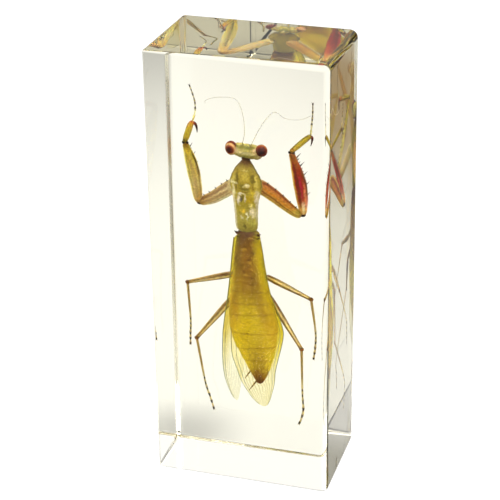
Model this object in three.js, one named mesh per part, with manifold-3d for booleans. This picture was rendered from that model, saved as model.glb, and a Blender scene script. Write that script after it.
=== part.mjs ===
// A praying mantis cast in a clear rectangular block of resin, standing upright.
// Millimetres. X is the width, Y runs from the front face to the back face, Z is up.
// The origin is the middle of the bottom face. The mantis shows its back to the front face.
import * as THREE from "three";
import { mergeVertices } from "three/addons/utils/BufferGeometryUtils.js";
import Module from "manifold-3d";

// ---- Driving dimensions ----
const BLOCK_WIDTH = 43.5;
const BLOCK_DEPTH = 28;
const BLOCK_HEIGHT = 110;
const UPRIGHT_EDGE_RADIUS = 2.4;
const LEVEL_EDGE_ROUND = 1.2;
const PARTING_GAP = 0.3; // between the two halves of the casting
const POCKET_CLEARANCE = 0.45; // from the insect's skin to the resin round it
const WING_HALF_THICKNESS = 0.2;
const WING_RIDGE_Y = -1.35; // the wings' highest line along the insect's back
const WING_FALL = 0.034; // how fast the wings drop away from that line, per mm squared

// Rows down the body: height, middle in x, middle in y, half width, half depth.
const PROTHORAX = [
  [82.9, -0.3, 0.5, 0.9, 0.9],
  [81.4, -0.3, 0.5, 2.0, 1.6],
  [79.8, -0.5, 0.5, 3.0, 2.1],
  [78.2, -0.6, 0.5, 3.75, 2.5],
  [76.4, -0.55, 0.5, 3.65, 2.5],
  [72.5, -0.45, 0.5, 3.15, 2.1],
  [66.6, -0.35, 0.7, 2.75, 1.9],
  [64.8, -0.2, 0.8, 2.3, 1.7],
];
const ABDOMEN = [
  [65.2, -0.15, 1.0, 2.3, 1.5],
  [64.5, -0.1, 1.0, 3.1, 1.7],
  [62.6, 0.0, 1.1, 3.0, 2.3],
  [57.0, -0.1, 1.2, 3.5, 2.6],
  [51.0, -0.1, 1.2, 4.1, 2.6],
  [46.0, 0.0, 1.2, 4.8, 2.5],
  [41.0, 0.3, 1.2, 5.5, 2.4],
  [37.0, 0.6, 1.2, 5.6, 2.3],
  [33.5, 0.9, 1.2, 4.8, 2.1],
  [30.5, 1.2, 1.1, 3.6, 1.7],
  [27.6, 1.7, 1.0, 2.0, 1.2],
  [25.3, 1.8, 1.0, 1.0, 0.7],
];
// Rows down a wing: height, middle in x, half width.
const LEFT_WING = [
  [62.5, -1.3, 1.4],
  [56.0, -1.6, 2.5],
  [48.0, -2.1, 2.9],
  [38.5, -3.2, 3.4],
  [34.4, -3.8, 3.3],
  [30.0, -4.1, 2.9],
  [26.0, -4.1, 2.3],
  [22.0, -3.8, 1.5],
  [19.2, -3.6, 0.7],
];
const RIGHT_WING = [
  [62.5, 1.5, 1.5],
  [56.0, 1.5, 2.5],
  [50.0, 1.4, 3.6],
  [44.0, 1.4, 5.6],
  [38.5, 1.8, 6.7],
  [34.4, 1.8, 6.4],
  [29.5, 1.7, 5.5],
  [25.0, 2.2, 4.3],
  [21.5, 2.9, 3.0],
  [18.8, 3.6, 1.6],
];
const HEAD = { at: [-0.25, 0.5, 84.9], radii: [3.9, 1.8, 1.85], tilt: 0.05 };
const LEFT_EYE = { at: [-3.75, 0.4, 85.6], radii: [1.5, 1.5, 1.7], tilt: 0.25 };
const RIGHT_EYE = { at: [3.35, 0.3, 85.1], radii: [1.5, 1.5, 1.75], tilt: -0.25 };

// Limbs as chains of joints in x, y, z, each stretch with its radii from joint to joint. A bow is how far
// the middle of a stretch stands off the straight line between its joints.
const LEFT_FORELEG = {
  coxa: { from: [-3.1, 2.8, 75.7], to: [-13.4, 9.0, 68.7], radii: [1.6, 1.5, 1.15], bow: [0, 0, -0.6] },
  femur: {
    from: [-14.1, 9.1, 68.8],
    to: [-14.3, -3.3, 86.5],
    radii: [0.8, 1.1, 1.4, 1.2, 0.75],
    bow: [0.5, 0, 0],
  },
  tibia: { from: [-14.3, -3.4, 86.9], to: [-14.6, 6.6, 89.3], radii: [0.6, 0.75, 0.6] },
  claw: [[-14.4, 6.7, 89.3], [-13.6, 7.0, 88.2], [-13.5, 7.0, 86.7]],
  tarsus: [[-14.5, 6.6, 89.3], [-14.0, 7.4, 91.3], [-14.0, 8.0, 93.6], [-15.2, 7.5, 98.0]],
  spineSide: [0.3, 0.9, 0.2],
};
const RIGHT_FORELEG = {
  coxa: { from: [1.4, 2.6, 76.2], to: [11.6, 8.0, 68.2], radii: [1.5, 1.5, 1.1], bow: [0, 0, -0.4] },
  femur: {
    from: [12.0, 8.1, 68.6],
    to: [11.5, -4.6, 86.8],
    radii: [0.9, 1.4, 1.4, 1.1, 0.75],
    bow: [0.7, 0, 0],
  },
  tibia: { from: [11.5, -4.7, 87.3], to: [14.8, 2.7, 89.5], radii: [0.6, 0.75, 0.6] },
  claw: [[14.8, 2.8, 89.4], [15.1, 3.0, 88.4], [14.8, 2.9, 87.0]],
  tarsus: [[14.8, 2.7, 89.4], [15.0, 2.9, 92.0], [15.2, 3.1, 94.7], [15.2, 3.3, 97.2]],
  spineSide: [0.6, 0.75, 0.3],
};
const WALKING_LEGS = [
  {
    root: [-1.5, 2.4, 54.2],
    hip: [-3.8, 4.0, 52.2],
    knee: [-15.8, 1.7, 49.0],
    foot: [[-16.6, 8.0, 37.1], [-17.1, 9.3, 32.6], [-17.3, 10.0, 29.0]],
  },
  {
    root: [1.4, 2.4, 54.4],
    hip: [3.6, 4.0, 52.4],
    knee: [15.3, 1.7, 48.4],
    foot: [[15.4, 8.5, 37.8], [15.2, 9.5, 33.0], [14.7, 10.0, 29.3]],
  },
  {
    root: [-1.6, 2.4, 49.2],
    hip: [-4.2, 4.4, 46.2],
    knee: [-13.3, -1.0, 34.9],
    foot: [[-13.3, 8.5, 20.0], [-12.2, 9.4, 15.2], [-11.3, 10.0, 11.1]],
  },
  {
    root: [1.6, 2.4, 50.0],
    hip: [4.0, 4.4, 47.6],
    knee: [13.4, -1.0, 35.5],
    foot: [[12.0, 9.5, 20.1], [12.3, 10.0, 15.2], [11.8, 10.2, 12.2], [11.0, 10.2, 10.2]],
  },
];
const HIP_RADII = [0.9, 0.65];
const THIGH_RADII = [0.62, 0.56, 0.42];
const SHIN_RADII = [0.4, 0.32];
const FOOT_RADII = [0.3, 0.22];
const CLAW_RADII = [0.4, 0.12];
const TARSUS_RADII = [0.26, 0.2];
const SPINE_RADII = [0.25, 0.07];
const SPINE_ROOT_OFFSET = 0.6; // from the thigh's middle line
const SPINE_LENGTH = 1.7;
const SPINE_SHARES = [0.42, 0.57, 0.72, 0.87]; // shares of the way from elbow to knee
// Points along each antenna in x and z: both lie in the plane y = 0.
const ANTENNAE = [
  [[-1.1, 86.4], [-0.5, 89.5], [-0.9, 93.9], [-2.6, 97.2], [-6.7, 97.3], [-9.6, 96.4], [-9.9, 95.4]],
  [[1.0, 86.4], [2.8, 90.1], [4.8, 93.2], [6.8, 95.0], [9.2, 93.7], [12.2, 93.7], [14.4, 94.9]],
];
const ANTENNA_RADIUS = 0.2;
const CERCI = [
  { from: [0.2, 1.0, 27.6], to: [-1.4, 1.0, 24.4] },
  { from: [1.6, 1.0, 24.8], to: [-0.4, 1.0, 21.2] },
];
const CERCUS_RADII = [0.25, 0.18];
const MOUTH = { from: [-0.2, 0.6, 84.9], to: [-0.2, 3.2, 83.6], radii: [1.5, 1.3, 0.7] };

const BODY_SIDES = 12;
const WING_SIDES = 10;
const LIMB_SIDES = 6;
const FINE_SIDES = 4;
const BALL_SIDES = 10;
const BALL_BANDS = 6;
const ANTENNA_STEPS = 10;
const EDGE_STEPS = 3; // facets round each upright edge of the casting
const BEVEL_STEPS = 2; // facets over each level edge
const CONE_SHARE = 0.6; // height of the cone that closes a spindle, as a share of its end radius
const MERGE_DISTANCE = 1e-4;

const wasm = await Module();
wasm.setup();

// A closed three.js geometry as a solid that can be joined and cut.
function solid(geometry) {
  const bare = geometry.clone();
  bare.deleteAttribute("normal");
  bare.deleteAttribute("uv");
  const merged = mergeVertices(bare, MERGE_DISTANCE);
  const mesh = new wasm.Mesh({
    numProp: 3,
    vertProperties: new Float32Array(merged.attributes.position.array),
    triVerts: new Uint32Array(merged.index.array),
  });
  return new wasm.Manifold(mesh);
}

function joined(solids) {
  return solids.reduce((whole, next) => whole.add(next));
}

function meshOf(body, name, material) {
  const made = body.getMesh();
  const geometry = new THREE.BufferGeometry();
  geometry.setAttribute("position", new THREE.BufferAttribute(made.vertProperties, 3));
  geometry.setIndex(new THREE.BufferAttribute(made.triVerts, 1));
  geometry.computeVertexNormals();
  const mesh = new THREE.Mesh(geometry, material);
  mesh.name = name;
  return mesh;
}

// A lathe turned about Z through the given rings of radius and height, closed by a short cone at each
// end. Vertex k of a LatheGeometry lies on ring k modulo the number of profile points.
function turned(rings, sides, grow) {
  const first = rings[0];
  const last = rings[rings.length - 1];
  const away = Math.sign(last.height - first.height);
  const profile = [
    new THREE.Vector2(0, first.height - away * (first.radius * CONE_SHARE + grow)),
    ...rings.map((ring) => new THREE.Vector2(ring.radius + grow, ring.height)),
    new THREE.Vector2(0, last.height + away * (last.radius * CONE_SHARE + grow)),
  ];
  // LatheGeometry faces outwards for a profile that rises along its axis.
  if (away < 0) profile.reverse();
  return new THREE.LatheGeometry(profile, sides);
}

// A flattened body through rows of height, middle x, middle y, half width and half depth.
function lofted(rows, sides, grow) {
  const rings = rows.map((row) => ({ height: row[0], radius: row[3] }));
  const geometry = turned(rings, sides, grow);
  const count = rows.length + 2;
  const upwards = rows[rows.length - 1][0] > rows[0][0];
  const places = geometry.attributes.position;
  for (let k = 0; k < places.count; k++) {
    const ring = upwards ? k % count : count - 1 - (k % count);
    const row = rows[THREE.MathUtils.clamp(ring - 1, 0, rows.length - 1)];
    const onAxis = ring === 0 || ring === count - 1;
    const depth = onAxis ? 0 : (row[4] + grow) / (row[3] + grow);
    places.setXYZ(k, row[1] + places.getX(k), row[2] - places.getZ(k) * depth, places.getY(k));
  }
  return geometry;
}

// A spindle from one joint to the next, with radii spread evenly along it.
function spindle({ from, to, radii, bow = [0, 0, 0] }, sides, grow) {
  const start = new THREE.Vector3(...from);
  const along = new THREE.Vector3(...to).sub(start);
  const length = along.length();
  const step = length / (radii.length - 1);
  const rings = radii.map((radius, i) => ({ height: i * step, radius }));
  const geometry = turned(rings, sides, grow);
  const up = new THREE.Vector3(0, 1, 0);
  const turn = new THREE.Quaternion().setFromUnitVectors(up, along.clone().normalize());
  const places = geometry.attributes.position;
  for (let k = 0; k < places.count; k++) {
    const place = new THREE.Vector3().fromBufferAttribute(places, k);
    const share = THREE.MathUtils.clamp(place.y / length, 0, 1);
    place.applyQuaternion(turn).add(start);
    place.addScaledVector(new THREE.Vector3(...bow), Math.sin(Math.PI * share));
    places.setXYZ(k, place.x, place.y, place.z);
  }
  return solid(geometry);
}

function ellipsoid({ at, radii, tilt }, grow) {
  const geometry = new THREE.SphereGeometry(1, BALL_SIDES, BALL_BANDS);
  geometry.scale(radii[0] + grow, radii[1] + grow, radii[2] + grow);
  geometry.rotateY(tilt);
  geometry.translate(...at);
  return solid(geometry);
}

// A chain of spindles through points, its radius falling evenly from the first to the last.
function chain(points, [startRadius, endRadius], sides, grow) {
  const links = points.slice(1).map((to, i) => {
    const radiusAt = (n) => THREE.MathUtils.lerp(startRadius, endRadius, n / (points.length - 1));
    return spindle({ from: points[i], to, radii: [radiusAt(i), radiusAt(i + 1)] }, sides, grow);
  });
  return joined(links);
}

// A wing is a thin lens bent over the back: it drops with the square of its distance from the ridge.
function wing(rows, grow) {
  const flat = rows.map(([height, middle, half]) => [height, middle, 0, half, WING_HALF_THICKNESS]);
  const geometry = lofted(flat, WING_SIDES, grow);
  const places = geometry.attributes.position;
  for (let k = 0; k < places.count; k++) {
    const x = places.getX(k);
    places.setY(k, places.getY(k) + WING_RIDGE_Y + WING_FALL * x * x);
  }
  return solid(geometry);
}

function antenna(points, grow) {
  const route = new THREE.CatmullRomCurve3(points.map(([x, z]) => new THREE.Vector3(x, 0, z)));
  const radius = ANTENNA_RADIUS + grow;
  const section = new THREE.Shape();
  for (let i = 0; i < FINE_SIDES; i++) {
    const turn = (2 * Math.PI * i) / FINE_SIDES;
    const put = i === 0 ? "moveTo" : "lineTo";
    section[put](radius * Math.cos(turn), radius * Math.sin(turn));
  }
  section.closePath();
  return solid(new THREE.ExtrudeGeometry(section, { steps: ANTENNA_STEPS, extrudePath: route }));
}

// Spines stand in a row along the inner edge of the grasping thigh.
function spines({ femur, spineSide }, grow) {
  const start = new THREE.Vector3(...femur.from);
  const end = new THREE.Vector3(...femur.to);
  const side = new THREE.Vector3(...spineSide).normalize();
  const made = SPINE_SHARES.map((share) => {
    const root = start.clone().lerp(end, share).addScaledVector(side, SPINE_ROOT_OFFSET);
    const tip = root.clone().addScaledVector(side, SPINE_LENGTH);
    return spindle({ from: root.toArray(), to: tip.toArray(), radii: SPINE_RADII }, FINE_SIDES, grow);
  });
  return joined(made);
}

function foreleg(leg, grow) {
  const { coxa, femur, tibia, claw, tarsus } = leg;
  const stretches = [coxa, femur, tibia].map((part) => spindle(part, LIMB_SIDES, grow));
  const fine = [
    chain(claw, CLAW_RADII, FINE_SIDES, grow),
    chain(tarsus, TARSUS_RADII, FINE_SIDES, grow),
  ];
  return joined([...stretches, ...fine, spines(leg, grow)]);
}

function walkingLeg({ root, hip, knee, foot }, grow) {
  return joined([
    spindle({ from: root, to: hip, radii: HIP_RADII }, LIMB_SIDES, grow),
    spindle({ from: hip, to: knee, radii: THIGH_RADII }, LIMB_SIDES, grow),
    spindle({ from: knee, to: foot[0], radii: SHIN_RADII }, LIMB_SIDES, grow),
    chain(foot, FOOT_RADII, FINE_SIDES, grow),
  ]);
}

// The whole insect, swollen by grow on every side: nothing for the insect itself, and the clearance for
// its pocket.
function insect(grow) {
  const trunk = [PROTHORAX, ABDOMEN].map((rows) => solid(lofted(rows, BODY_SIDES, grow)));
  const wings = [LEFT_WING, RIGHT_WING].map((rows) => wing(rows, grow));
  const head = [HEAD, LEFT_EYE, RIGHT_EYE].map((piece) => ellipsoid(piece, grow));
  const limbs = [LEFT_FORELEG, RIGHT_FORELEG].map((leg) => foreleg(leg, grow));
  const legs = WALKING_LEGS.map((leg) => walkingLeg(leg, grow));
  const feelers = ANTENNAE.map((points) => antenna(points, grow));
  const tails = CERCI.map((part) => spindle({ ...part, radii: CERCUS_RADII }, FINE_SIDES, grow));
  const mouth = spindle(MOUTH, LIMB_SIDES, grow);
  return joined([...trunk, ...wings, ...head, mouth, ...limbs, ...legs, ...feelers, ...tails]);
}

// The casting: a rectangle with rounded upright edges, extruded upwards with rounded level edges.
function casting() {
  const inset = LEVEL_EDGE_ROUND;
  const halfWidth = BLOCK_WIDTH / 2 - inset;
  const halfDepth = BLOCK_DEPTH / 2 - inset;
  const radius = UPRIGHT_EDGE_RADIUS - inset;
  const outline = new THREE.Shape();
  outline.moveTo(halfWidth, -halfDepth + radius);
  outline.absarc(halfWidth - radius, halfDepth - radius, radius, 0, Math.PI / 2);
  outline.absarc(-halfWidth + radius, halfDepth - radius, radius, Math.PI / 2, Math.PI);
  outline.absarc(-halfWidth + radius, -halfDepth + radius, radius, Math.PI, 1.5 * Math.PI);
  outline.absarc(halfWidth - radius, -halfDepth + radius, radius, 1.5 * Math.PI, 2 * Math.PI);
  const geometry = new THREE.ExtrudeGeometry(outline, {
    depth: BLOCK_HEIGHT - 2 * inset,
    curveSegments: EDGE_STEPS,
    bevelThickness: inset,
    bevelSize: inset,
    bevelSegments: BEVEL_STEPS,
  });
  geometry.translate(0, 0, inset);
  return solid(geometry);
}

// A box that takes in everything on one side of the parting plane.
function sideOfParting(direction) {
  const beyond = 10;
  const depth = BLOCK_DEPTH / 2 + beyond;
  const geometry = new THREE.BoxGeometry(BLOCK_WIDTH + beyond, depth, BLOCK_HEIGHT + beyond);
  geometry.translate(0, direction * (depth / 2 + PARTING_GAP / 2), BLOCK_HEIGHT / 2);
  return solid(geometry);
}

const mantisMaterial = new THREE.MeshStandardMaterial({
  color: 0x9a7a22,
  roughness: 0.55,
  metalness: 0,
});
const resinMaterial = new THREE.MeshStandardMaterial({
  color: 0xeef0e4,
  roughness: 0.05,
  metalness: 0,
  transparent: true,
  opacity: 0.25,
});

const mantis = insect(0);
const pocket = insect(POCKET_CLEARANCE);
const hollowed = casting().subtract(pocket);

const object = new THREE.Group();
object.add(meshOf(mantis, "mantis", mantisMaterial));
object.add(meshOf(hollowed.intersect(sideOfParting(-1)), "resin_front_half", resinMaterial));
object.add(meshOf(hollowed.intersect(sideOfParting(1)), "resin_back_half", resinMaterial));

export default object;
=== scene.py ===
"""Looks of a praying mantis cast in a clear block of resin.

Lengths are millimetres, but names that end in _M and the sizes of the panel are in metres. X is the width,
Y runs from the front face to the back face and Z is up. The mantis shows its back to the front face, so
its left side is the side of low X.
"""

import bpy
import numpy as np
from bpy.props import FloatProperty, FloatVectorProperty, PointerProperty
from mathutils import Matrix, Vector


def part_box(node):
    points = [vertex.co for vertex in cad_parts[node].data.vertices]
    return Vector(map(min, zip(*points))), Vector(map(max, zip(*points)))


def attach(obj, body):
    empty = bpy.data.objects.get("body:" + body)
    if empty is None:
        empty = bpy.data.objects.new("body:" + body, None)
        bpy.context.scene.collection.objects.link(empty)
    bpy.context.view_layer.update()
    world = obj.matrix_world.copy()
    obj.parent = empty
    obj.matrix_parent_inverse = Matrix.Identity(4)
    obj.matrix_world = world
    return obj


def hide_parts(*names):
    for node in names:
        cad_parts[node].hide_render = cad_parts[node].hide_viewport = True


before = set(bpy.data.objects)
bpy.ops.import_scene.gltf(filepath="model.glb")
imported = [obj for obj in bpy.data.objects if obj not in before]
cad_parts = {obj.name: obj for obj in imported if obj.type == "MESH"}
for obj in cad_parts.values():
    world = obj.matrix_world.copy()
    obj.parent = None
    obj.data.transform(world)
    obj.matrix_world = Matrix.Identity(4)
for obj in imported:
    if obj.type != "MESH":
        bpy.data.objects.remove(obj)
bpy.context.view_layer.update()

bl_info = {
    "name": "Mantis in Resin Block",
    "version": (1, 0, 0),
    "blender": (4, 5, 0),
    "location": "View3D > Sidebar > Mantis Block",
    "description": "Builds a dried praying mantis, the clear casting round it and a plain studio",
    "category": "Add Mesh",
}

MM = 0.001
INSECT_NODE = "mantis"
RESIN_NODES = ("resin_front_half", "resin_back_half")
BODY = "root"

TO_FRONT = (0.0, -1.0, 0.0)
TO_TOP = (0.0, 0.0, 1.0)

FRONT_LOW, FRONT_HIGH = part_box(RESIN_NODES[0])
BACK_LOW, BACK_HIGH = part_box(RESIN_NODES[1])

# ---- The insect's dimensions: x, y, z, half width, half depth unless a comment says otherwise ----
PRONOTUM = [
    (-0.3, 0.5, 82.89, 0.95, 0.9),
    (-0.3, 0.5, 81.88, 1.35, 1.2),
    (-0.35, 0.5, 80.87, 2.1, 1.6),
    (-0.45, 0.5, 79.46, 2.95, 2.0),
    (-0.45, 0.5, 77.85, 3.7, 2.3),
    (-0.4, 0.5, 76.04, 4.0, 2.4),
    (-0.4, 0.5, 74.02, 3.5, 2.2),
    (-0.45, 0.55, 71.41, 3.05, 2.0),
    (-0.4, 0.6, 68.18, 2.85, 1.9),
    (-0.35, 0.7, 65.77, 2.75, 1.8),
    (-0.3, 0.8, 63.5, 2.35, 1.5),
]
NECK = [(-0.25, 0.6, 84.3, 0.9, 0.9), (-0.3, 0.5, 83.09, 1.05, 1.0), (-0.3, 0.5, 81.88, 1.2, 1.1)]
HIND_BODY = [
    (-0.15, 1.0, 65.16, 2.0, 1.3),
    (-0.1, 1.0, 64.05, 2.7, 1.7),
    (0.0, 1.1, 62.14, 3.0, 2.1),
    (-0.1, 1.2, 59.02, 3.4, 2.4),
    (-0.1, 1.2, 56.51, 3.7, 2.5),
    (0.0, 1.2, 50.47, 4.5, 2.5),
    (0.3, 1.2, 45.44, 5.4, 2.4),
    (0.9, 1.2, 40.41, 6.2, 2.3),
    (1.2, 1.2, 36.37, 5.9, 2.2),
    (1.8, 1.2, 32.6, 4.9, 2.0),
    (2.2, 1.1, 29.1, 3.6, 1.6),
    (2.4, 1.0, 26.1, 2.3, 1.1),
    (2.4, 1.0, 24.2, 1.3, 0.7),
    (2.3, 1.0, 23.0, 0.5, 0.3),
]
WING_HINGE_RADIUS = 0.42
# Roots and tips of the hinges.
WING_HINGES = (
    [(-2.5, -0.4, 63.75), (2.4, -0.4, 63.6), (-2.3, 0.2, 62.6), (2.2, 0.2, 62.6)],
    [(-3.45, -0.1, 64.2), (3.35, -0.1, 63.95), (-3.1, 0.4, 62.8), (3.0, 0.4, 62.75)],
)
ABDOMEN_JOINTS = (48.46, 45.34, 42.32, 37.18, 33.24, 29.71, 26.88)
HEAD = [
    (-4.0, 0.6, 85.21, 0.7, 0.7),
    (-3.2, 0.6, 85.06, 1.3, 1.1),
    (-1.9, 0.5, 84.8, 1.75, 1.7),
    (-0.2, 0.55, 84.6, 1.75, 1.8),
    (1.5, 0.5, 84.55, 1.8, 1.7),
    (2.8, 0.6, 84.35, 1.65, 1.3),
    (3.9, 0.5, 84.25, 0.95, 0.8),
]
MUZZLE = [
    (-0.2, 0.6, 84.7, 1.6, 1.6),
    (-0.2, 1.8, 84.2, 1.5, 1.3),
    (-0.2, 2.7, 83.69, 1.1, 0.95),
    (-0.2, 3.3, 83.29, 0.7, 0.6),
]
# The sockets of the antennae and the simple eye between them: centre and radii.
HEAD_BUMPS = [
    ((-1.0, -0.1, 85.86), (0.42, 0.5, 0.4)),
    ((0.9, -0.1, 85.86), (0.42, 0.5, 0.4)),
    ((-0.1, -0.3, 85.96), (0.35, 0.4, 0.3)),
]
# Centre, radii, the point of the pupil on the eye's skin, and how far the dark pigment reaches.
EYES = {
    "left_eye": ((-3.75, -0.05, 85.15), (1.5, 1.55, 1.75), (-4.0, -1.54, 84.95), 1.05),
    "right_eye": ((3.58, -0.1, 85.2), (1.42, 1.6, 1.5), (3.8, -1.68, 85.1), 1.8),
}
# Rows down a wing: z, middle x, half width.
LEFT_WING = [
    (63.75, -1.5, 1.6),
    (59.22, -1.2, 2.5),
    (53.49, -1.3, 3.0),
    (46.44, -1.9, 3.3),
    (42.32, -2.4, 3.5),
    (37.18, -3.1, 3.5),
    (34.05, -3.6, 3.2),
    (29.0, -4.0, 2.9),
    (24.76, -4.1, 2.4),
    (21.74, -3.9, 1.7),
    (19.24, -3.5, 0.9),
    (18.13, -3.2, 0.25),
]
RIGHT_WING = [
    (63.55, 1.5, 1.7),
    (59.73, 1.3, 2.5),
    (55.4, 1.3, 3.1),
    (49.16, 1.2, 4.3),
    (45.44, 1.2, 5.5),
    (41.21, 1.5, 6.5),
    (37.99, 2.1, 6.5),
    (34.66, 1.9, 6.3),
    (31.02, 1.6, 5.8),
    (27.49, 1.8, 4.9),
    (23.96, 2.3, 4.1),
    (20.34, 3.0, 2.6),
    (18.53, 3.5, 1.5),
    (17.53, 3.9, 0.5),
]
# A wing's stiff veins: share of the half width, the shares of the length it runs between, and radius.
LEFT_RIMS = [(-1, 0.02, 0.96, 0.15), (-0.78, 0.45, 0.93, 0.07)]
RIGHT_RIMS = [(1, 0.02, 0.97, 0.12), (0.88, 0.1, 0.93, 0.07), (-1, 0.45, 0.97, 0.1), (-0.8, 0.55, 0.95, 0.06)]
LEFT_LIFT = 0.1  # towards the front
RIGHT_LIFT = 0.35
WING_RIDGE_Y = -1.3
WING_FALL = 0.03  # how fast a wing drops away from its ridge, per mm squared

COXA = {
    "left": [
        (-2.6, 2.4, 75.84, 1.2, 1.2),
        (-4.0, 3.4, 74.83, 1.75, 1.5),
        (-6.5, 5.0, 72.82, 1.75, 1.5),
        (-9.6, 6.8, 70.4, 1.55, 1.3),
        (-12.2, 8.3, 68.89, 1.25, 1.1),
        (-13.6, 9.1, 68.28, 0.95, 0.9),
    ],
    "right": [
        (1.4, 2.2, 76.44, 1.3, 1.3),
        (2.8, 3.4, 75.23, 1.75, 1.5),
        (5.6, 4.9, 72.92, 1.7, 1.4),
        (8.4, 6.4, 70.3, 1.45, 1.25),
        (10.6, 7.5, 68.38, 1.15, 1.05),
        (11.9, 8.1, 67.78, 0.9, 0.85),
    ],
}
FORE_FEMUR = {
    "left": [
        (-13.6, 9.2, 68.18, 0.75, 0.7),
        (-13.9, 8.2, 69.59, 1.15, 0.85),
        (-13.75, 5.6, 73.42, 1.45, 1.0),
        (-13.7, 3.0, 77.05, 1.6, 1.1),
        (-13.8, 0.6, 80.47, 1.5, 1.05),
        (-14.1, -1.6, 83.69, 1.1, 0.85),
        (-14.35, -3.2, 86.03, 0.7, 0.7),
    ],
    "right": [
        (12.1, 8.3, 68.08, 0.8, 0.75),
        (12.3, 7.2, 69.79, 1.1, 0.85),
        (12.45, 4.6, 73.52, 1.5, 1.0),
        (12.45, 2.0, 77.25, 1.65, 1.05),
        (12.2, -0.5, 80.77, 1.4, 0.95),
        (11.8, -2.9, 84.1, 0.95, 0.8),
        (11.5, -4.5, 86.44, 0.7, 0.65),
    ],
}
FORE_TIBIA = {
    "left": [
        (-14.35, -3.7, 86.44, 0.55, 0.5),
        (-14.4, -1.6, 87.05, 0.75, 0.6),
        (-14.5, 1.6, 87.87, 0.8, 0.65),
        (-14.6, 4.6, 88.69, 0.75, 0.6),
        (-14.5, 6.6, 89.1, 0.55, 0.5),
    ],
    "right": [
        (11.4, -4.9, 86.85, 0.55, 0.5),
        (12.3, -3.0, 87.56, 0.7, 0.6),
        (13.5, -0.2, 88.49, 0.75, 0.65),
        (14.4, 1.9, 89.1, 0.65, 0.6),
        (14.8, 2.8, 89.3, 0.5, 0.45),
    ],
}
# x, y, z, radius.
FORE_CLAW = {
    "left": [
        (-14.5, 6.3, 89.1, 0.42),
        (-13.8, 6.9, 88.49, 0.36),
        (-13.5, 7.0, 87.46, 0.24),
        (-13.45, 7.0, 86.34, 0.06),
    ],
    "right": [
        (14.8, 2.7, 89.3, 0.4),
        (15.15, 3.0, 88.69, 0.33),
        (15.05, 3.0, 87.77, 0.2),
        (14.8, 2.9, 86.75, 0.06),
    ],
}
FORE_TARSUS = {
    "left": [
        (-14.5, 6.6, 89.1),
        (-14.0, 7.4, 91.15),
        (-14.0, 8.0, 93.5),
        (-14.5, 7.8, 95.75),
        (-15.2, 7.5, 98.0),
    ],
    "right": [(14.8, 2.7, 89.2), (15.0, 2.9, 91.86), (15.2, 3.1, 94.62), (15.2, 3.3, 97.18)],
}
# Which way the long spines of the grasping leg stand.
SPINE_SIDE = {"left": (0.3, 0.9, 0.2), "right": (0.6, 0.75, 0.3)}

# The hip's two ends, the knee, the stations of the shin and foot, and the share of the thigh that is dark.
WALKING_LEGS = {
    "left_middle_leg": {
        "hip": [(-1.5, 2.4, 53.69), (-3.8, 4.0, 51.68)],
        "knee": (-15.8, 1.7, 48.46),
        "foot": [(-16.6, 8.0, 36.47), (-17.0, 9.3, 31.93), (-17.2, 9.9, 28.5)],
        "dark": (0.12, 0.42),
    },
    "right_middle_leg": {
        "hip": [(1.4, 2.4, 53.89), (3.6, 4.0, 51.88)],
        "knee": (15.3, 1.7, 47.85),
        "foot": [(15.4, 8.5, 37.18), (15.2, 9.5, 32.33), (14.7, 10.0, 28.8)],
        "dark": (0.0, 0.2),
    },
    "left_hind_leg": {
        "hip": [(-1.6, 2.4, 48.66), (-4.2, 4.4, 45.64)],
        "knee": (-13.3, -1.0, 34.25),
        "foot": [(-13.3, 8.5, 19.24), (-12.2, 9.4, 14.42), (-11.3, 9.9, 10.61)],
        "dark": (0.05, 0.25),
    },
    "right_hind_leg": {
        "hip": [(1.6, 2.4, 49.46), (4.0, 4.4, 47.05)],
        "knee": (13.4, -1.0, 34.86),
        "foot": [(12.0, 9.5, 19.34), (12.2, 9.9, 14.42), (11.7, 10.1, 11.61), (11.0, 10.1, 9.7)],
        "dark": (0.1, 0.5),
    },
}
# x and z down each antenna.
ANTENNAE = {
    "left_antenna": [
        (-1.1, 86.13),
        (-0.5, 89.3),
        (-0.9, 93.81),
        (-2.6, 97.18),
        (-6.7, 97.28),
        (-9.6, 96.36),
        (-9.9, 95.54),
    ],
    "right_antenna": [
        (1.0, 86.13),
        (2.8, 89.92),
        (4.8, 93.09),
        (6.8, 94.93),
        (9.4, 93.6),
        (12.8, 93.7),
        (15.4, 94.9),
    ],
}
# The root and the tip of each tail.
CERCI = {
    "left_cercus": ((0.4, 1.0, 26.88), (-1.4, 1.0, 23.86)),
    "right_cercus": ((1.9, 1.0, 24.16), (-0.4, 1.0, 20.64)),
}


# ---- Numbers and shapes ----
def linear(code):
    """An sRGB hex colour as linear red, green, blue and alpha."""
    share = np.array([int(code[i : i + 2], 16) for i in (1, 3, 5)]) / 255
    value = np.where(share <= 0.04045, share / 12.92, ((share + 0.055) / 1.055) ** 2.4)
    return (*value.tolist(), 1.0)


def curve(rows, share):
    """Points at the given shares along the Catmull-Rom curve through the rows.

    Between rows b and c, with neighbours a and d and f from 0 to 1, a point is
    (2b + (c - a)f + (2a - 5b + 4c - d)f^2 + (3b - a - 3c + d)f^3) / 2.
    """
    rows = np.asarray(rows, float)
    place = np.clip(share, 0, 1) * (len(rows) - 1)
    k = np.minimum(place.astype(int), len(rows) - 2)
    f = (place - k)[:, None]
    padded = np.vstack([2 * rows[0] - rows[1], rows, 2 * rows[-1] - rows[-2]])
    a, b, c, d = (padded[k + i] for i in range(4))
    return (2 * b + (c - a) * f + (2 * a - 5 * b + 4 * c - d) * f**2 + (3 * b - a - 3 * c + d) * f**3) / 2


def unit(vectors):
    return vectors / np.maximum(np.linalg.norm(vectors, axis=-1, keepdims=True), 1e-12)


def smoothstep(x, start, end):
    """0 before start, 1 after end, and 3q^2 - 2q^3 of the share q of the way between them."""
    q = np.clip((x - start) / (end - start), 0, 1)
    return q * q * (3 - 2 * q)


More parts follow.
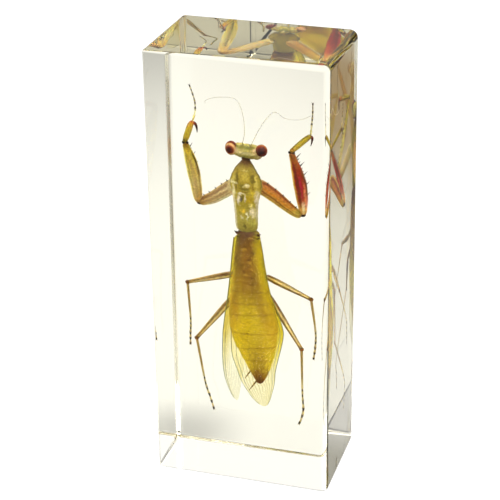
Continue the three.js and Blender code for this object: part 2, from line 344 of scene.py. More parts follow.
def hump(x, middle, width):
    """A bell of height 1: exp(-((x - middle) / width)^2)."""
    return np.exp(-(((x - middle) / width) ** 2))


def crowded_ends(count):
    """Shares s from 0 to 1 that crowd at both ends: (1 - cos(pi t)) / 2 for even t."""
    return (1 - np.cos(np.pi * np.linspace(0, 1, count))) / 2


def quad_bands(bands, sides, first=0):
    """Quads between bands + 1 rings of vertices, the first ring starting at vertex first."""
    row = first + np.arange(bands)[:, None] * sides
    k = np.arange(sides)[None]
    near = row + k
    nearer = row + (k + 1) % sides
    return np.stack([near, nearer, nearer + sides, near + sides], -1).reshape(-1, 4)


def closed_grid(points, uv, material):
    """A shell from rings of points whose first and last rings are single points.

    points is rings x sides x 3 and uv is rings x (sides + 1) x 2. A ring turned about the way forward
    by the right-hand rule gives faces that point outwards.
    """
    rings, sides = points.shape[:2]
    vertices = np.concatenate([points[0, :1], points[1:-1].reshape(-1, 3), points[-1, :1]])
    quads = quad_bands(rings - 3, sides, 1)
    quad_uv = np.stack([uv[1:-2, :-1], uv[1:-2, 1:], uv[2:-1, 1:], uv[2:-1, :-1]], 2).reshape(-1, 2)
    side = np.arange(sides)
    after = (side + 1) % sides
    last = len(vertices) - 1
    base = 1 + (rings - 3) * sides
    start = np.stack([np.zeros(sides, int), 1 + after, 1 + side], 1)
    end = np.stack([np.full(sides, last), base + side, base + after], 1)
    start_uv = np.stack([uv[0, :-1], uv[1, 1:], uv[1, :-1]], 1).reshape(-1, 2)
    end_uv = np.stack([uv[-1, :-1], uv[-2, :-1], uv[-2, 1:]], 1).reshape(-1, 2)
    faces = quads.tolist() + start.tolist() + end.tolist()
    return vertices, faces, np.concatenate([quad_uv, start_uv, end_uv]), material


def limb(rows, facing, material, rings=40, sides=20, relief=None, pinch=0.0):
    """A closed shell: an ellipse carried along a smooth line through the rows.

    With c the line's point, T its unit tangent, N the unit part of facing that is square to T, and
    B = N x T, the surface is c + a cos(p) B + b sin(p) |sin(p)|^pinch N. The half width a and half
    depth b shrink to nothing at each end as a quarter ellipse does, within the end's own radius.
    relief(u, v) multiplies a and b, where u is the share of the turn and v that of the length.
    """
    rows = np.asarray(rows, float)
    if rows.shape[1] == 4:
        rows = np.column_stack([rows, rows[:, 3]])
    line = curve(rows, crowded_ends(rings))
    centre = line[:, :3]
    tangent = unit(np.gradient(centre, axis=0))
    run = np.concatenate([[0], np.cumsum(np.linalg.norm(np.diff(centre, axis=0), axis=1))])
    v = run / run[-1]
    from_start = np.clip(run / line[0, 3:].mean(), 0, 1)
    from_end = np.clip((run[-1] - run) / line[-1, 3:].mean(), 0, 1)
    rounding = np.sqrt(1 - (1 - from_start) ** 2) * np.sqrt(1 - (1 - from_end) ** 2)
    facing = np.broadcast_to(np.asarray(facing, float), centre.shape)
    normal = unit(facing - (facing * tangent).sum(1, keepdims=True) * tangent)
    across = np.cross(normal, tangent)
    u = np.arange(sides + 1) / sides
    turn = 2 * np.pi * u[:-1][None]
    swell = rounding[:, None] * (relief(u[:-1][None], v[:, None]) if relief else 1)
    a = (line[:, 3:4] * swell * np.cos(turn))[..., None]
    b = (line[:, 4:5] * swell * np.sin(turn) * np.abs(np.sin(turn)) ** pinch)[..., None]
    points = centre[:, None] + a * across[:, None] + b * normal[:, None]
    uv = np.stack(np.broadcast_arrays(u[None], v[:, None]), -1)
    return closed_grid(points, uv, material)


def ball(centre, radii, material, rings, sides):
    """An ellipsoid: centre + radii * (sin t cos p, sin t sin p, -cos t), with t from pole to pole."""
    t = np.linspace(0, np.pi, rings)[:, None]
    u = np.arange(sides + 1) / sides
    p = 2 * np.pi * u[:-1][None]
    flat = np.stack(np.broadcast_arrays(np.sin(t) * np.cos(p), np.sin(t) * np.sin(p), -np.cos(t)), -1)
    uv = np.stack(np.broadcast_arrays(u[None], t / np.pi), -1)
    return closed_grid(np.asarray(centre) + np.asarray(radii) * flat, uv, material)


def cones(roots, tips, radius, material, sides=7):
    """Closed cones: a ring of the given radius round each root, joined to its tip and to its root."""
    roots = np.atleast_2d(np.asarray(roots, float))
    tips = np.atleast_2d(np.asarray(tips, float))
    axis = unit(tips - roots)
    helper = np.where(np.abs(axis[:, 2:3]) < 0.9, [[0.0, 0.0, 1.0]], [[1.0, 0.0, 0.0]])
    normal = unit(np.cross(axis, helper))
    across = np.cross(normal, axis)
    turn = 2 * np.pi * np.arange(sides) / sides
    radius = np.broadcast_to(np.asarray(radius, float), (len(roots),))[:, None, None]
    spokes = np.cos(turn)[None, :, None] * across[:, None] + np.sin(turn)[None, :, None] * normal[:, None]
    ring = roots[:, None] + radius * spokes
    vertices = np.concatenate([ring, roots[:, None], tips[:, None]], 1)
    k = np.arange(sides)
    after = (k + 1) % sides
    lower = np.stack([np.full(sides, sides), after, k], 1)
    upper = np.stack([np.full(sides, sides + 1), k, after], 1)
    one = np.concatenate([lower, upper])
    faces = one[None] + (np.arange(len(roots)) * (sides + 2))[:, None, None]
    faces = faces.reshape(-1, 3)
    one_uv = np.stack([np.stack([k, after, k], 1), np.stack([k, k, after], 1)]) / sides
    along = np.array([[0.0, 0.3, 0.3], [1.0, 0.3, 0.3]])[:, None] * np.ones((1, sides, 1))
    uv = np.stack([one_uv, along], -1).reshape(1, -1, 2)
    return vertices.reshape(-1, 3), faces.tolist(), np.repeat(uv, len(roots), 0).reshape(-1, 2), material


def beaded(count, depth):
    """Relief of a jointed thread: 1 + depth * cos(2 pi count v)."""
    return lambda u, v: 1 + depth * np.cos(2 * np.pi * count * v) + 0 * u


def jointed(count, depth):
    """Relief of a foot in count joints, each narrow at its root and swollen near its end."""

    def relief(u, v):
        along = (v * count) % 1
        return 1 - depth + depth * 1.6 * along**1.5 * (1 - smoothstep(along, 0.86, 1.0)) + 0 * u

    return relief


def foot_hooks(before, end, material):
    """Two small hooked claws that spread from the end of a foot, which runs from before to end."""
    before, end = np.asarray(before, float), np.asarray(end, float)
    ahead = unit(end - before)
    aside = unit(np.cross(ahead, [0.0, 1.0, 0.0]))
    root = end - ahead * 0.2
    roots = np.array([root + aside * 0.05, root - aside * 0.05])
    tips = np.array([root + ahead * 0.55 + aside * 0.35, root + ahead * 0.55 - aside * 0.35])
    return cones(roots, tips, 0.1, material)


def piece(name, shells, stands_for=(INSECT_NODE,)):
    """One mesh object from shells, each of vertices in mm, faces, their corners' map and a material."""
    materials = list(dict.fromkeys(shell[3] for shell in shells))
    offsets = np.cumsum([0] + [len(shell[0]) for shell in shells])
    vertices = np.concatenate([shell[0] for shell in shells]) * MM
    faces = [[i + int(start) for i in face] for shell, start in zip(shells, offsets) for face in shell[1]]
    mesh = bpy.data.meshes.new(name)
    mesh.from_pydata(vertices.tolist(), [], faces)
    for material in materials:
        mesh.materials.append(material)
    kinds = np.concatenate([np.full(len(shell[1]), materials.index(shell[3]), np.int32) for shell in shells])
    mesh.polygons.foreach_set("material_index", kinds)
    mesh.uv_layers.new(name="UVMap").data.foreach_set("uv", np.concatenate([s[2] for s in shells]).ravel())
    mesh.shade_smooth()
    mesh.update()
    made = bpy.data.objects.new(name, mesh)
    bpy.context.scene.collection.objects.link(made)
    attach(made, BODY)
    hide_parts(*stands_for)
    return made


# ---- Materials ----
CHITIN_IOR = 1.56
LIGHT_DEPTH = 1.6  # how far light strays in soaked cuticle
LIGHT_SPREAD = (1.0, 0.8, 0.35)  # the same for red, green and blue, as shares of that
CUTICLE_ROUGHNESS = 0.4
CUTICLE_SHINE = 0.15
PIT_SPACING = 0.18
PIT_STRENGTH = 0.12
WAVER_SIZE = 1.1
WAVER = 1.6  # how far the spots stray from their places
SWAY = 0.06  # how far the stripes stray, as a share of the turn and of the length
STRIPE_FADE = 0.08  # half the share of the length over which a stripe begins or ends
# A mark fades between these shares of its half width or radius.
STRIPE_EDGE = (0.5, 1.4)
RING_EDGE = (0.4, 1.3)
SPOT_EDGE = (0.1, 1.25)

TEGMEN = "#e4dc6c"  # the leathery base of the fore wing
TEGMEN_END = (0.05, 0.45)  # shares of the wing's length between which it fades
COSTA_BAND = (0.45, 0.95)  # shares of the width over which the film thickens to the leading edge
COSTA_END = (0.4, 0.75)
COSTA_BODY = 0.16  # what the thick leading edge adds to FILM_BODY
FILM_BODY = 0.01  # share of the light that clear film scatters
FILM_DIFFUSE = 0.45  # share of that which stays on its own side
VEIN_LANES = 11
VEIN_WANDER = 0.3  # how far noise moves the veins, as a share of the width
VEIN_WANDER_SIZE = 5
VEIN_WIDTH = 0.12  # as a share of a lane
VEINS_SHOW = (0.55, 0.75)  # shares of the length between which the veins come out of the leather
VEIN_DARKNESS = 0.5
NET_MESH = 0.55
NET_LINE = (0.02, 0.08)  # a cross vein fades between these distances from it

FACET_SPACING = 0.09
FACET_DEPTH = 0.05
EYE_RINGS = [
    (0.0, "#240502"),
    (0.22, "#3c0c02"),
    (0.36, "#5c1c04"),
    (0.46, "#7c3412"),
    (0.54, "#a05c2c"),
    (0.66, "#cca26a"),
    (0.8, "#b8844a"),
    (0.9, "#62200c"),
]


def add(tree, kind, inputs=None, stops=None, **settings):
    """Adds a node with its settings, and links or sets its inputs by name or number."""
    made = tree.nodes.new("ShaderNode" + kind)
    for key, value in settings.items():
        setattr(made, key, value)
    for key, value in (inputs or {}).items():
        socket = made.inputs[key]
        if isinstance(value, bpy.types.NodeSocket):
            tree.links.new(value, socket)
        else:
            socket.default_value = value
    if stops:
        elements = made.color_ramp.elements
        while len(elements) < len(stops):
            elements.new(1.0)
        for element, (position, colour) in zip(elements, stops):
            element.position = position
            element.color = colour if isinstance(colour, tuple) else linear(colour)
    return made


def new_material(name):
    """A material without nodes, and its tree."""
    material = bpy.data.materials.new(name)
    material.use_nodes = True
    material.node_tree.nodes.clear()
    return material, material.node_tree


def mixed(tree, share, below, above):
    """The colour above laid over the colour below by the given share."""
    values = {"Factor": share, 6: below, 7: above}
    return add(tree, "Mix", values, data_type="RGBA", blend_type="MIX").outputs[2]


def math(tree, operation, *values):
    """A Math node's result for one to three values."""
    return add(tree, "Math", dict(enumerate(values)), operation=operation).outputs[0]


def vector_math(tree, operation, *values):
    """A Vector Math node's result: a number for a length, distance or dot product, or else a vector."""
    made = add(tree, "VectorMath", dict(enumerate(values)), operation=operation)
    return made.outputs["Value" if operation in ("LENGTH", "DISTANCE", "DOT_PRODUCT") else "Vector"]


def ease(tree, value, start, end, low=0.0, high=1.0, kind="SMOOTHSTEP"):
    """A smooth step of a value from low at start to high at end."""
    limits = {"Value": value, "From Min": start, "From Max": end, "To Min": low, "To Max": high}
    return add(tree, "MapRange", limits, interpolation_type=kind).outputs[0]


def ease_straight(tree, value, start, end, low=0.0, high=1.0):
    """The same as ease, in a straight line."""
    return ease(tree, value, start, end, low, high, "LINEAR")


def noise(tree, place, size, output="Fac", **inputs):
    """Noise with lumps of a size in mm."""
    inputs = {"Vector": place, "Scale": 1 / (size * MM), **inputs}
    return add(tree, "TexNoise", inputs).outputs[output]


def cells(tree, place, size, feature="F1"):
    """The distance from the middles of cells of a size in mm, or from their edges."""
    inputs = {"Vector": place, "Scale": 1 / (size * MM)}
    return add(tree, "TexVoronoi", inputs, feature=feature).outputs["Distance"]


def stripe_mask(tree, uv, centre, half, start, end):
    """1 along a stripe at share centre of the turn, half wide, from start to end of the length."""
    whole = math(tree, "FRACT", math(tree, "ADD", uv.outputs[0], 0.5 - centre))
    far = math(tree, "ABSOLUTE", math(tree, "SUBTRACT", whole, 0.5))
    side = ease(tree, far, half * STRIPE_EDGE[0], half * STRIPE_EDGE[1], 1.0, 0.0)
    opened = ease(tree, uv.outputs[1], start - STRIPE_FADE, start + STRIPE_FADE)
    shut = ease(tree, uv.outputs[1], end - STRIPE_FADE, end + STRIPE_FADE, 1.0, 0.0)
    return math(tree, "MULTIPLY", side, math(tree, "MULTIPLY", opened, shut))


def spot_mask(tree, place, centre, radii, strength):
    """strength inside an ellipsoid about a point in mm, fading to nothing at its skin."""
    offset = vector_math(tree, "SUBTRACT", place, tuple(c * MM for c in centre))
    scaled = vector_math(tree, "MULTIPLY", offset, tuple(1 / (r * MM) for r in radii))
    return ease(tree, vector_math(tree, "LENGTH", scaled), *SPOT_EDGE, strength, 0.0)


def cuticle(name, along, stripes=(), rings=(), spots=(), joints=None, mottle=0.25, grain=0.5, through=0.85):
    """Dried insect cuticle: chitin soaked by resin, so it is glassy, lets light deep in and shines little.

    along gives the colours from the base of a part to its tip. stripes are (share of the turn, half width,
    start, end, colour, strength), rings are (share of the length, half width, colour, strength), spots are
    (centre, radii, colour, strength) and joints is (count, start, dark share, colour, strength) for bands
    that repeat to the tip. mottle is how much the lightness varies, grain the size of that in mm and
    through the share of the light that scatters inside.
    """
    material, tree = new_material(name)
    coords = add(tree, "TexCoord")
    place = coords.outputs["Object"]
    lumps = noise(tree, place, WAVER_SIZE, "Color", Detail=2.0)
    drift = vector_math(tree, "SUBTRACT", lumps, (0.5, 0.5, 0.5))
    marks = vector_math(tree, "MULTIPLY_ADD", drift, (WAVER * MM,) * 3, place)
    swayed = vector_math(tree, "MULTIPLY_ADD", drift, (SWAY, SWAY, 0.0), coords.outputs["UV"])
    uv = add(tree, "SeparateXYZ", {0: swayed})
    even = add(tree, "SeparateXYZ", {0: coords.outputs["UV"]}).outputs[1]
    colour = add(tree, "ValToRGB", {0: uv.outputs[1]}, stops=along).outputs[0]
    for *stripe, shade, strength in stripes:
        mask = stripe_mask(tree, uv, *stripe)
        colour = mixed(tree, math(tree, "MULTIPLY", mask, strength), colour, linear(shade))
    for centre, half, shade, strength in rings:
        far = math(tree, "ABSOLUTE", math(tree, "SUBTRACT", even, centre))
        mask = ease(tree, far, half * RING_EDGE[0], half * RING_EDGE[1], strength, 0.0)
        colour = mixed(tree, mask, colour, linear(shade))
    if joints:
        count, start, dark, shade, strength = joints
        beat = math(tree, "FRACT", ease_straight(tree, even, start, 1.0, 0.0, count))
        band = ease(tree, beat, 1 - dark, 1 - 0.6 * dark, 0.0, strength)
        on = math(tree, "GREATER_THAN", even, start)
        colour = mixed(tree, math(tree, "MULTIPLY", band, on), colour, linear(shade))
    for centre, radii, shade, strength in spots:
        colour = mixed(tree, spot_mask(tree, marks, centre, radii, strength), colour, linear(shade))
    cloud = noise(tree, place, grain, Detail=4.0, Roughness=0.6)
    lightness = ease_straight(tree, cloud, 0.3, 0.7, 1 - mottle, 1 + 0.6 * mottle)
    colour = add(tree, "HueSaturation", {"Color": colour, "Value": lightness}).outputs[0]
    pits = {"Height": cells(tree, place, PIT_SPACING), "Strength": PIT_STRENGTH, "Distance": PIT_SPACING * MM}
    skin = {
        "Base Color": colour,
        "Roughness": CUTICLE_ROUGHNESS,
        "Specular IOR Level": CUTICLE_SHINE,
        "IOR": CHITIN_IOR,
        "Subsurface Weight": through,
        "Subsurface Radius": LIGHT_SPREAD,
        "Subsurface Scale": LIGHT_DEPTH * MM,
        "Normal": add(tree, "Bump", pits).outputs[0],
    }
    add(tree, "OutputMaterial", {"Surface": add(tree, "BsdfPrincipled", skin).outputs[0]})
    return material


def clear_casting_resin(tint, density):
    """Polyester casting resin, poured, ground flat and polished: clear and smooth, a little yellow in depth.

    Absorption per metre is density times one less the tint, for each colour.
    """
    material, tree = new_material("clear_casting_resin")
    clear = {"Base Color": (1.0, 1.0, 1.0, 1.0), "Roughness": 0.0, "IOR": 1.56, "Transmission Weight": 1.0}
    surface = add(tree, "BsdfPrincipled", clear).outputs[0]
    depth = add(tree, "VolumeAbsorption", {"Color": tint, "Density": density}).outputs[0]
    add(tree, "OutputMaterial", {"Surface": surface, "Volume": depth})
    return material


def wing_membrane(name, costa_side, film, costa, vein):
    """Wing film: a thin fold of dry chitin, clear and faintly yellow, thick and golden along the leading
    edge, with lengthwise veins and a net of fine cross veins between them.

    The map runs over the wing: U from its low-X edge to its high-X edge and V from base to tip. Light
    passes both skins of the film, so each takes away the root of the whole tint.
    """
    material, tree = new_material(name)
    coords = add(tree, "TexCoord")
    place = coords.outputs["Object"]
    across, down, _ = add(tree, "SeparateXYZ", {0: coords.outputs["UV"]}).outputs
    if costa_side < 0:
        across = math(tree, "SUBTRACT", 1.0, across)
    band = ease(tree, across, *COSTA_BAND)
    thick = math(tree, "MULTIPLY", band, ease(tree, down, *COSTA_END, 1.0, 0.06))
    wander = noise(tree, place, VEIN_WANDER_SIZE, Detail=1.0)
    lanes = math(tree, "MULTIPLY", math(tree, "MULTIPLY_ADD", wander, VEIN_WANDER, across), VEIN_LANES)
    long_vein = ease(tree, math(tree, "PINGPONG", lanes, 0.5), 0.0, VEIN_WIDTH, 1.0, 0.0)
    cross_vein = ease_straight(tree, cells(tree, place, NET_MESH, "DISTANCE_TO_EDGE"), *NET_LINE, 0.3, 0.0)
    free = ease(tree, down, *VEINS_SHOW, 0.12, 1.0)
    veins = math(tree, "MULTIPLY", math(tree, "MAXIMUM", long_vein, cross_vein), free)
    leather = math(tree, "MULTIPLY", band, ease(tree, down, *TEGMEN_END, 0.8, 0.0))
    tint = mixed(tree, thick, linear(film), linear(costa))
    tint = mixed(tree, leather, tint, linear(TEGMEN))
    tint = mixed(tree, math(tree, "MULTIPLY", veins, VEIN_DARKNESS), tint, linear(vein))
    window = add(tree, "BsdfTransparent", {"Color": tint}).outputs[0]
    glow = add(tree, "BsdfTranslucent", {"Color": tint}).outputs[0]
    skin = add(tree, "BsdfDiffuse", {"Color": tint}).outputs[0]
    leaf = add(tree, "MixShader", {0: FILM_DIFFUSE, 1: glow, 2: skin}).outputs[0]
    cover = math(tree, "MULTIPLY_ADD", thick, COSTA_BODY, FILM_BODY)
    wing = add(tree, "MixShader", {0: cover, 1: window, 2: leaf}).outputs[0]
    add(tree, "OutputMaterial", {"Surface": wing})
    return material


def compound_eye(name, pupil, reach):
    """A mantis eye: a clear outer coat over dark red pigment, with a dark false pupil and a pale rim.

    The colours are rings by distance from the pupil's point on the skin: dark up to reach, in mm, then an
    orange ring and the pale rim, and maroon again beyond 1.8 times that.
    """
    material, tree = new_material(name)
    place = add(tree, "TexCoord").outputs["Object"]
    far = vector_math(tree, "DISTANCE", place, tuple(c * MM for c in pupil))
    share = ease_straight(tree, far, 0.0, 2.0 * reach * MM)
    facets = {"Height": cells(tree, place, FACET_SPACING), "Strength": 0.1, "Distance": FACET_DEPTH * MM}
    eye = {
        "Base Color": add(tree, "ValToRGB", {0: share}, stops=EYE_RINGS).outputs[0],
        "Roughness": 0.18,
        "Specular IOR Level": 0.12,
        "Coat Weight": 0.2,
        "Coat Roughness": 0.05,
        "Normal": add(tree, "Bump", facets).outputs[0],
    }
    add(tree, "OutputMaterial", {"Surface": add(tree, "BsdfPrincipled", eye).outputs[0]})
    return material


# ---- Properties ----
def length_setting(name, description, default):
    """A length in metres."""
    return FloatProperty(name=name, description=description, default=default, unit="LENGTH")


def corner_settings(name, what, default):
    """A length for each upright edge of the block."""
    return FloatVectorProperty(
        name=name,
        description=what + " at the back right, back left, front left and front right",
        default=default,
        size=4,
        unit="LENGTH",
    )


class MantisBlockSizes(bpy.types.PropertyGroup):
    """Sizes of the casting."""

    width: length_setting("Width", "Width of the block", FRONT_HIGH.x - FRONT_LOW.x)
    depth: length_setting("Depth", "Depth from front to back", BACK_HIGH.y - FRONT_LOW.y)
    height: length_setting("Height", "Height of the block on end", FRONT_HIGH.z - FRONT_LOW.z)
    upright_radii: corner_settings("Upright Edges", "Radius of the edge", (0.0022, 0.0011, 0.0005, 0.0016))
    top_rounds: corner_settings("Top Edges", "Rounding of the top", (0.0018, 0.0009, 0.0004, 0.0015))
    foot_rounds: corner_settings("Foot Edges", "Rounding of the foot", (0.0006, 0.001, 0.0004, 0.0005))


class MantisLooks(bpy.types.PropertyGroup):
    """Colour of the resin and fine sizes of the insect."""

    resin_tint: FloatVectorProperty(
        name="Resin Tint",
        description="Colour that the resin takes on in depth",
        default=(0.78, 0.72, 0.44),
        size=3,
        subtype="COLOR",
    )
    resin_density: FloatProperty(
        name="Resin Density", description="Absorption per metre of resin", default=10.0, min=0.0
    )
    antenna_radius: length_setting("Antenna Radius", "Radius at the base of an antenna", 0.00007)
    wing_half_thickness: length_setting("Wing Half Thickness", "Half the thickness of the wing film", 0.00004)
    spine_length: length_setting("Spine Length", "Length of the long spines of a foreleg", 0.0018)


class StudioSettings(bpy.types.PropertyGroup):
    """Floor and light."""

    floor_base: FloatProperty(
        name="Floor Base", description="Share of the light on it that the floor sends back", default=0.06
    )
    floor_glow: FloatProperty(
        name="Floor Glow", description="Light given off by the backlit floor", default=1.02, min=0.0
    )
    sky: FloatProperty(name="Sky", description="Strength of the light from all round", default=1.2, min=0.0)
    softbox: FloatProperty(
        name="Softboxes", description="Added brightness of the softboxes", default=6.0, min=0.0
    )


def sizes():
    return bpy.context.scene.mantis_block_sizes


def looks():
    return bpy.context.scene.mantis_looks


# ---- The casting ----
FLAT_HOLD = 0.06  # how far beyond a rounding the ring stands that keeps the flat face flat


def casting_shell(width, depth, height, radii, top_rounds, foot_rounds, material):
    """The block as rings round its outline, from bottom to top.

    The outline is four quarter circles, each of its corner's radius less the ring's inset, joined by
    straight sides. The inset follows a quarter circle, round * (1 - sin t), over each end's edge, and a ring
    just beyond each rounding keeps the flat faces flat. The rounds of both ends are given for each corner
    and grow evenly along the sides between them.
    """
    corner_steps = 9
    level_steps = 6
    quarter = np.linspace(0, np.pi / 2, corner_steps)
    turn = (quarter[None] + (np.pi / 2 * np.arange(4))[:, None]).ravel()
    outward = np.stack([np.cos(turn), np.sin(turn)], 1)
    signs = np.repeat([[1, 1], [-1, 1], [-1, -1], [1, -1]], corner_steps, 0)
    radius = np.repeat(radii, corner_steps)
    middle = signs * (np.array([[width / 2, depth / 2]]) - radius[:, None])
    edge = np.linspace(0, np.pi / 2, level_steps)
    share_in = np.concatenate([[1.0], 1 - np.sin(edge), [0.0]])[:, None]
    share_up = np.concatenate([[0.0], 1 - np.cos(edge), [1.0]])[:, None]
    first = np.arange(level_steps + 2)[:, None] == 0
    last = first[::-1]
    top = np.repeat(top_rounds, corner_steps)[None]
    foot = np.repeat(foot_rounds, corner_steps)[None]
    foot_in, top_in = (share_in * size + FLAT_HOLD * first for size in (foot, top))
    foot_up, top_up = (share_up * size + FLAT_HOLD * last for size in (foot, top))
    inset = np.concatenate([foot_in, top_in[::-1]])
    z = np.concatenate([foot_up, height - top_up[::-1]])
    side = middle[None] + (radius[None] - inset)[..., None] * outward[None]
    points = np.concatenate([side, z[..., None]], -1)
    rings, sides = points.shape[:2]
    quads = quad_bands(rings - 1, sides)
    lowest = np.arange(sides)[::-1]
    highest = (rings - 1) * sides + np.arange(sides)
    faces = quads.tolist() + [lowest.tolist(), highest.tolist()]
    vertices = points.reshape(-1, 3)
    loops = np.concatenate([quads.ravel(), lowest, highest])
    uv = vertices[loops][:, [0, 2]] / height
    return vertices, faces, uv, material


class MANTIS_OT_resin_block(bpy.types.Operator):
    """Cast the clear block that holds the insect"""

    bl_idname = "mantis_block.resin_block"
    bl_label = "Resin Block"

    def execute(self, context):
        size = sizes()
        look = looks()
        resin = clear_casting_resin((*look.resin_tint, 1.0), look.resin_density)
        shell = casting_shell(
            size.width / MM,
            size.depth / MM,
            size.height / MM,
            np.array(size.upright_radii) / MM,
            np.array(size.top_rounds) / MM,
            np.array(size.foot_rounds) / MM,
            resin,
        )
        block = piece("resin_block", [shell], stands_for=RESIN_NODES)
        even = block.modifiers.new("Flat faces shade flat", "WEIGHTED_NORMAL")
        even.weight = 100
        return {"FINISHED"}


# ---- The insect ----
class MANTIS_OT_head(bpy.types.Operator):
    """Make the head, its eyes and its antennae"""

    bl_idname = "mantis_block.head"
    bl_label = "Head"

    def execute(self, context):
        skin = cuticle(
            "yellow_green_head_cuticle",
            [(0.0, "#a88e50"), (0.2, "#c6b66c"), (0.5, "#b9ad58"), (0.8, "#bcaa5c"), (1.0, "#a08448")],
            stripes=[
                (0.14, 0.05, 0.1, 0.9, "#6c6a18", 0.85),
                (0.27, 0.03, 0.2, 0.8, "#e4d8a4", 0.6),
                (0.38, 0.05, 0.1, 0.9, "#8c8430", 0.6),
            ],
            mottle=0.45,
            spots=[
                ((-0.9, -0.6, 86.23), (0.5, 1.2, 0.4), "#6f5a1c", 0.8),
                ((0.9, -0.6, 86.13), (0.5, 1.2, 0.4), "#6f5a1c", 0.8),
                ((-2.6, -0.9, 85.01), (0.8, 1.2, 0.9), "#d9b888", 0.8),
                # The pale spot beside the right eye is partly cream skin and partly a painted highlight.
                ((2.1, -0.9, 85.1), (0.7, 1.2, 1.0), "#e4c898", 0.9),
                ((3.4, -0.7, 83.4), (1.2, 1.2, 0.6), "#e0d08c", 0.8),
            ],
        )
        brow = limb(HEAD, TO_FRONT, skin, rings=48, sides=28, relief=beaded(6, 0.03))
        muzzle = limb(MUZZLE, TO_TOP, skin, rings=24, sides=20)
        bumps = [ball(centre, radii, skin, 10, 14) for centre, radii in HEAD_BUMPS]
        piece("head", [brow, muzzle, *bumps])
        for name, (centre, radii, pupil, reach) in EYES.items():
            piece(name, [ball(centre, radii, compound_eye(name + "_pigment", pupil, reach), 36, 48)])
        thread = cuticle(
            "grey_brown_antenna_cuticle",
            [(0.0, "#6c6a58"), (0.2, "#84827a"), (1.0, "#8b8880")],
            mottle=0.1,
        )
        base = looks().antenna_radius / MM
        for name, route in ANTENNAE.items():
            share = np.linspace(0, 1, len(route))
            rows = [(x, 0.0, z, base * (1 - 0.45 * s)) for (x, z), s in zip(route, share)]
            beads = limb(rows, TO_FRONT, thread, rings=160, sides=8, relief=beaded(60, 0.12))
            piece(name, [beads])
        return {"FINISHED"}


# The shield's oval swelling, groove and pale flecks: centre, radii, colour and strength. The dark groove and
# hollow are painted shade, and the white flecks are painted highlights.
SHIELD_MARKS_AND_PAINTED_LIGHT = [
    ((-0.6, -1.6, 77.25), (2.73, 1.3, 3.33), "#a8921e", 0.7),
    ((-0.4, -1.6, 78.5), (1.3, 1.2, 1.9), "#ccb64c", 0.85),
    ((-3.0, -1.2, 77.45), (0.45, 1.4, 2.3), "#c9bb5c", 0.8),
    ((2.4, -1.2, 77.65), (0.5, 1.4, 2.2), "#e0cc60", 0.9),
    ((-2.3, -1.3, 78.2), (0.6, 1.3, 2.4), "#5e500e", 0.95),
    ((1.6, -1.3, 78.2), (0.55, 1.3, 2.4), "#6a5a12", 0.9),
    ((-0.4, -1.6, 75.6), (1.7, 1.2, 0.5), "#5e500e", 0.95),
    ((-0.4, -1.5, 80.1), (1.0, 1.2, 0.36), "#e0d070", 0.8),
    ((-1, -1.6, 76.54), (0.78, 1.2, 1.03), "#6e6218", 0.85),
    # a painted highlight on the oval swelling
    ((0.15, -1.6, 76.44), (0.72, 1.2, 0.57), "#f8ecb4", 1.0),
    ((-0.6, -1.5, 74.82), (1.95, 1.2, 0.37), "#6a4a10", 0.8),
    ((-2.4, -1.4, 75.73), (0.45, 1.2, 1.03), "#6a5418", 0.8),
    ((1.6, -1.4, 75.53), (0.45, 1.2, 1.15), "#8a6c14", 0.8),
    ((-3.3, -0.9, 76.84), (1.43, 1.4, 0.52), "#f0e8b8", 0.9),
    ((-3.2, -0.8, 74.72), (0.45, 1.4, 1.95), "#efe6bc", 0.9),
    ((-1.2, -1.3, 74.12), (1.3, 1.2, 0.32), "#fff6dc", 0.95),
    ((-0.2, -1.3, 73.11), (0.39, 1.2, 1.03), "#fff6dc", 0.9),
    # painted shade in a hollow, with painted highlights round it
    ((-1.2, -1.3, 72.91), (0.59, 1.2, 1.03), "#2e1f0a", 1.0),
    ((-1.9, -1.3, 72.51), (0.65, 1.2, 1.38), "#fff4e4", 0.95),
    ((0.7, -1.4, 72.81), (1.04, 1.2, 1.72), "#c0a010", 0.8),
    ((1.5, -1.3, 74.52), (0.78, 1.2, 1.03), "#f0d43c", 0.8),
    ((2.6, -0.9, 72.81), (0.91, 1.4, 2.53), "#efe2cc", 0.85),
    ((-0.8, -1.3, 69.89), (0.78, 1.2, 0.8), "#f4cf3c", 0.9),
    ((1.1, -1.3, 71), (0.52, 1.2, 0.69), "#fff08c", 0.95),
    ((1.6, -1.2, 69.38), (1.17, 1.2, 1.49), "#fff2da", 0.9),
    ((0.1, -1.3, 68.68), (0.29, 1.2, 1.38), "#fff8d0", 0.9),
    ((1.6, -1.1, 66.47), (1.04, 1.2, 1.03), "#ccc95a", 0.7),
    ((-0.5, -1.1, 66.07), (0.45, 1.2, 1.15), "#55480c", 0.9),
    ((-1.2, -1.1, 68.08), (0.52, 1.2, 0.69), "#e8e0b0", 0.8),
]


